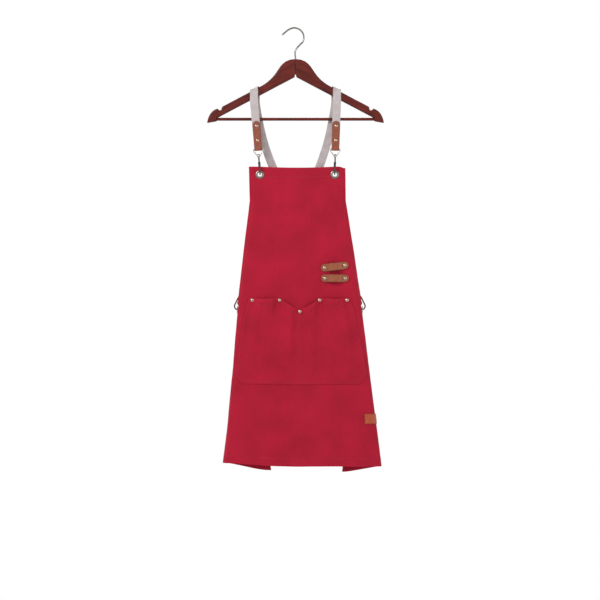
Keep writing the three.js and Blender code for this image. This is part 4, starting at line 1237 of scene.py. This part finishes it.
# %% Eyelets
def eyelet(word, place, outward):
    """A rolled eyelet with its washer behind."""
    out = facing(place, outward)
    face = cloth_half + 0.9
    lip = [
        (5.55, -face - 0.9), (5.5, 0), (5.5, face + 0.7), (5.9, face + 1.25), (6.8, face + 1.5), (8.2, face + 1.35),
        (9.8, face + 0.85), (10.8, face + 0.25), (11, face - 0.3), (10.2, face - 0.35), (6.6, face - 0.3),
        (6.45, 0), (6.45, -face - 0.6), (5.9, -face - 1.2), (5.55, -face - 0.9),
    ]
    washer = [
        (6.85, -face), (9.6, -face + 0.1), (10, -face - 0.2), (9.8, -face - 0.7), (8.2, -face - 0.9),
        (6.95, -face - 0.75), (6.85, -face),
    ]
    front_piece = stand_for(turned(f"{word}_grommet", lip, out, dark_antique, "garment", 48), word)
    behind = word.replace("eyelet", "eyelet_washer")
    stand_for(turned(f"{word}_grommet_back", washer, out, dark_antique, "garment", 48), behind)
    return front_piece


for word, side in (("left", -1), ("right", 1)):
    low, high = (c * 1000 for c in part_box(f"bib_eyelet_{word}"))
    eyelet(f"bib_eyelet_{word}", ((low.x + high.x) / 2, bib_plane, (low.z + high.z) / 2), (0, -1, 0))
    s, z = waist_eyelet(side)
    at = round_section(s, z, 0)
    eyelet(f"waist_eyelet_{word}", at, round_section(s, z, 1) - at)
print("4 eyelets")

# %% [markdown]
# ## Cast snaps and the wooden arms
# The snaps, eyes and sliders are small castings, and the arms are sanded wood, so neither has a sharp edge
# anywhere. The CAD's copy of each is remeshed into fine even cells and relaxed a little, which rounds every
# edge and keeps the shape. A bevel would leave its own hard lines where several edges meet.

# %% Rounded copies
def softened(name, node, material, body, voxel, passes):
    """A copy of a CAD node with all its edges eased."""
    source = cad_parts[node]
    mesh = source.data.copy()
    mesh.name = name
    mesh.materials.clear()
    mesh.materials.append(material)
    piece = bpy.data.objects.new(name, mesh)
    scene.collection.objects.link(piece)
    remesh = piece.modifiers.new("even_cells", "REMESH")
    remesh.mode = "VOXEL"
    remesh.voxel_size = voxel
    remesh.use_smooth_shade = True
    relax = piece.modifiers.new("eased_edges", "SMOOTH")
    relax.factor = 0.5
    relax.iterations = passes
    solid = bpy.data.meshes.new_from_object(piece.evaluated_get(bpy.context.evaluated_depsgraph_get()))
    piece.modifiers.clear()
    piece.data = solid
    solid.name = name
    solid.shade_smooth()
    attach(piece, body)
    return stand_for(piece, node)


cast_faces = 0
for end in ("front", "rear"):
    for word in ("left", "right"):
        snap = f"{end}_{word}_snap"
        hook = softened(f"{snap}_body", f"{snap}_hook", gunmetal, snap, 0.0004, 5)
        cast_faces += len(hook.data.polygons)
        cast_faces += len(softened(f"{snap}_loop", f"{snap}_eye", nickel, "garment", 0.0004, 5).data.polygons)
        cast_faces += len(
            softened(f"{snap}_lever", f"{snap}_gate", gunmetal, f"{end}_{word}_gate", 0.0003, 3).data.polygons)
        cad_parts[f"{snap}_pin"].data.materials[0] = gunmetal
for word in ("left", "right"):
    softened(f"strap_slider_{word}", f"rear_{word}_slider", nickel, f"rear_{word}_slider", 0.0005, 4)
print("cast metal", cast_faces, "faces")


# %% Arms
def arm(word, side):
    """One half of the hanger, with its grain along the arm and painted shade darkening its rims."""
    piece = softened(f"wooden_arm_{word}", f"hanger_arm_{word}", wood_finish, "hanger", 0.001, 4)
    mesh = piece.data
    points = np.empty(len(mesh.vertices) * 3)
    mesh.vertices.foreach_get("co", points)
    x, y, z = points.reshape(-1, 3).T
    run = side * x * math.cos(arm_slope) - z * math.sin(arm_slope)
    rise = side * x * math.sin(arm_slope) + z * math.cos(arm_slope)
    lines = np.stack([run + (0.3 if side > 0 else 0), y, rise], 1)
    flat = mesh.attributes.new("cloth", "FLOAT_VECTOR", "POINT")
    flat.data.foreach_set("vector", lines.astype(np.float32).ravel())
    # Painted shade: the rims, near the middle of the board's thickness, are marked to be darkened. The broad faces
    # are not.
    turned_away = np.clip((np.abs(y) - 0.0049) / 0.0018, 0, 1)
    tone = mesh.attributes.new("wear_and_shade", "FLOAT", "POINT")
    tone.data.foreach_set("value", (0.75 * (1 - turned_away)).astype(np.float32))
    return piece


arms = [arm("left", -1), arm("right", 1)]
print("arms", [len(a.data.polygons) for a in arms])

# %% [markdown]
# ## Trouser bar and hook
# The bar is a turned dowel of the same stained wood. The hook is one length of drawn wire bent over a former,
# so it is a tube swept along its path with a rounded tip. Both replace many-sided CAD solids.

# %% Bar
low, high = (c * 1000 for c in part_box("trouser_bar"))
radius = (high.z - low.z) / 2
bar_turn = Matrix.Translation((low.x, 0, (low.z + high.z) / 2)) @ Matrix.Rotation(math.pi / 2, 4, "Y")
span = high.x - low.x
bar_profile = [(0, 0), (radius, 0)]
bar_profile += [(radius, span * k / 40) for k in range(1, 40)] + [(radius, span), (0, span)]
bar = turned("trouser_dowel", bar_profile, bar_turn, wood_finish, "hanger")
points = np.array([v.co[:] for v in bar.data.vertices], np.float32)
bar.data.attributes.new("cloth", "FLOAT_VECTOR", "POINT").data.foreach_set("vector", points.ravel())
bar.data.attributes.new("wear_and_shade", "FLOAT", "POINT").data.foreach_set("value", np.zeros(len(points), np.float32))
stand_for(bar, "trouser_bar")


# %% Hook wire
def wire(name, path, radius, material, body, sides=20):
    """A round wire along a path in mm in the XZ plane, with a rounded tip at its end."""
    rings, faces, points = [], [], []
    tips = [(0.0, 1.0), (0.35, 0.93), (0.7, 0.7), (0.92, 0.38)]
    ahead = (path[-1] - path[-2]).normalized()
    course = [(p, 1.0) for p in path[:-1]] + [(path[-1] + ahead * radius * far, share) for far, share in tips]
    for k, (at, share) in enumerate(course):
        along = (course[min(k + 1, len(course) - 1)][0] - course[max(k - 1, 0)][0]).normalized()
        side = along.cross(Vector((0, 1, 0))).normalized()
        rings.append(len(points))
        for turn in range(sides):
            angle = 2 * math.pi * turn / sides
            outward = side * math.cos(angle) + Vector((0, 1, 0)) * math.sin(angle)
            points.append(at + radius * share * outward)
    for one, two in zip(rings, rings[1:]):
        for turn in range(sides):
            nxt = (turn + 1) % sides
            faces.append((one + turn, one + nxt, two + nxt, two + turn))
    faces.append(tuple(range(sides - 1, -1, -1)))
    faces.append(tuple(range(rings[-1], rings[-1] + sides)))
    return build(name, points, faces, material, body, sharp=60)


low, high = (c * 1000 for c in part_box("hook_wire"))
wire_radius = 2.1
crown_radius = 24
hook_stem = 76
crown_z = -crown_radius + wire_radius
knots = [Vector((0, 0, low.z + 3)), Vector((0, 0, -hook_stem)), Vector((0, 0, crown_z - crown_radius - 8))]
knots.append(Vector((crown_radius * 0.42, 0, crown_z - crown_radius * 0.8)))
for degrees in (112, 75, 38, 0, -34):
    angle = math.radians(degrees)
    knots.append(Vector((-3 + crown_radius * math.sin(angle), 0, crown_z + crown_radius * math.cos(angle))))
knots.append(Vector((-crown_radius * 1.38 + 0.6, 0, crown_z + crown_radius * 0.28 + 0.6)))


def smooth_path(knots, steps):
    """A curve through all the knots that leaves each one smoothly (centripetal Catmull-Rom)."""
    ends = [2 * knots[0] - knots[1]] + knots + [2 * knots[-1] - knots[-2]]
    path = []
    for p0, p1, p2, p3 in zip(ends, ends[1:], ends[2:], ends[3:]):
        t1 = (p1 - p0).length ** 0.5
        t2 = t1 + (p2 - p1).length ** 0.5
        t3 = t2 + (p3 - p2).length ** 0.5
        for k in range(steps):
            t = t1 + (t2 - t1) * k / steps
            a1 = p0 * (t1 - t) / t1 + p1 * t / t1
            a2 = p1 * (t2 - t) / (t2 - t1) + p2 * (t - t1) / (t2 - t1)
            a3 = p2 * (t3 - t) / (t3 - t2) + p3 * (t - t2) / (t3 - t2)
            b1 = a1 * (t2 - t) / t2 + a2 * t / t2
            b2 = a2 * (t3 - t) / (t3 - t1) + a3 * (t - t1) / (t3 - t1)
            path.append(b1 * (t2 - t) / (t2 - t1) + b2 * (t - t1) / (t2 - t1))
    return path + [knots[-1]]


hook = wire("hook_bent_wire", smooth_path(knots, 8), wire_radius, chrome, "hook")
stand_for(hook, "hook_wire")
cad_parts["hook_washer"].data.materials[0] = nickel
print("hook", len(hook.data.polygons), "faces")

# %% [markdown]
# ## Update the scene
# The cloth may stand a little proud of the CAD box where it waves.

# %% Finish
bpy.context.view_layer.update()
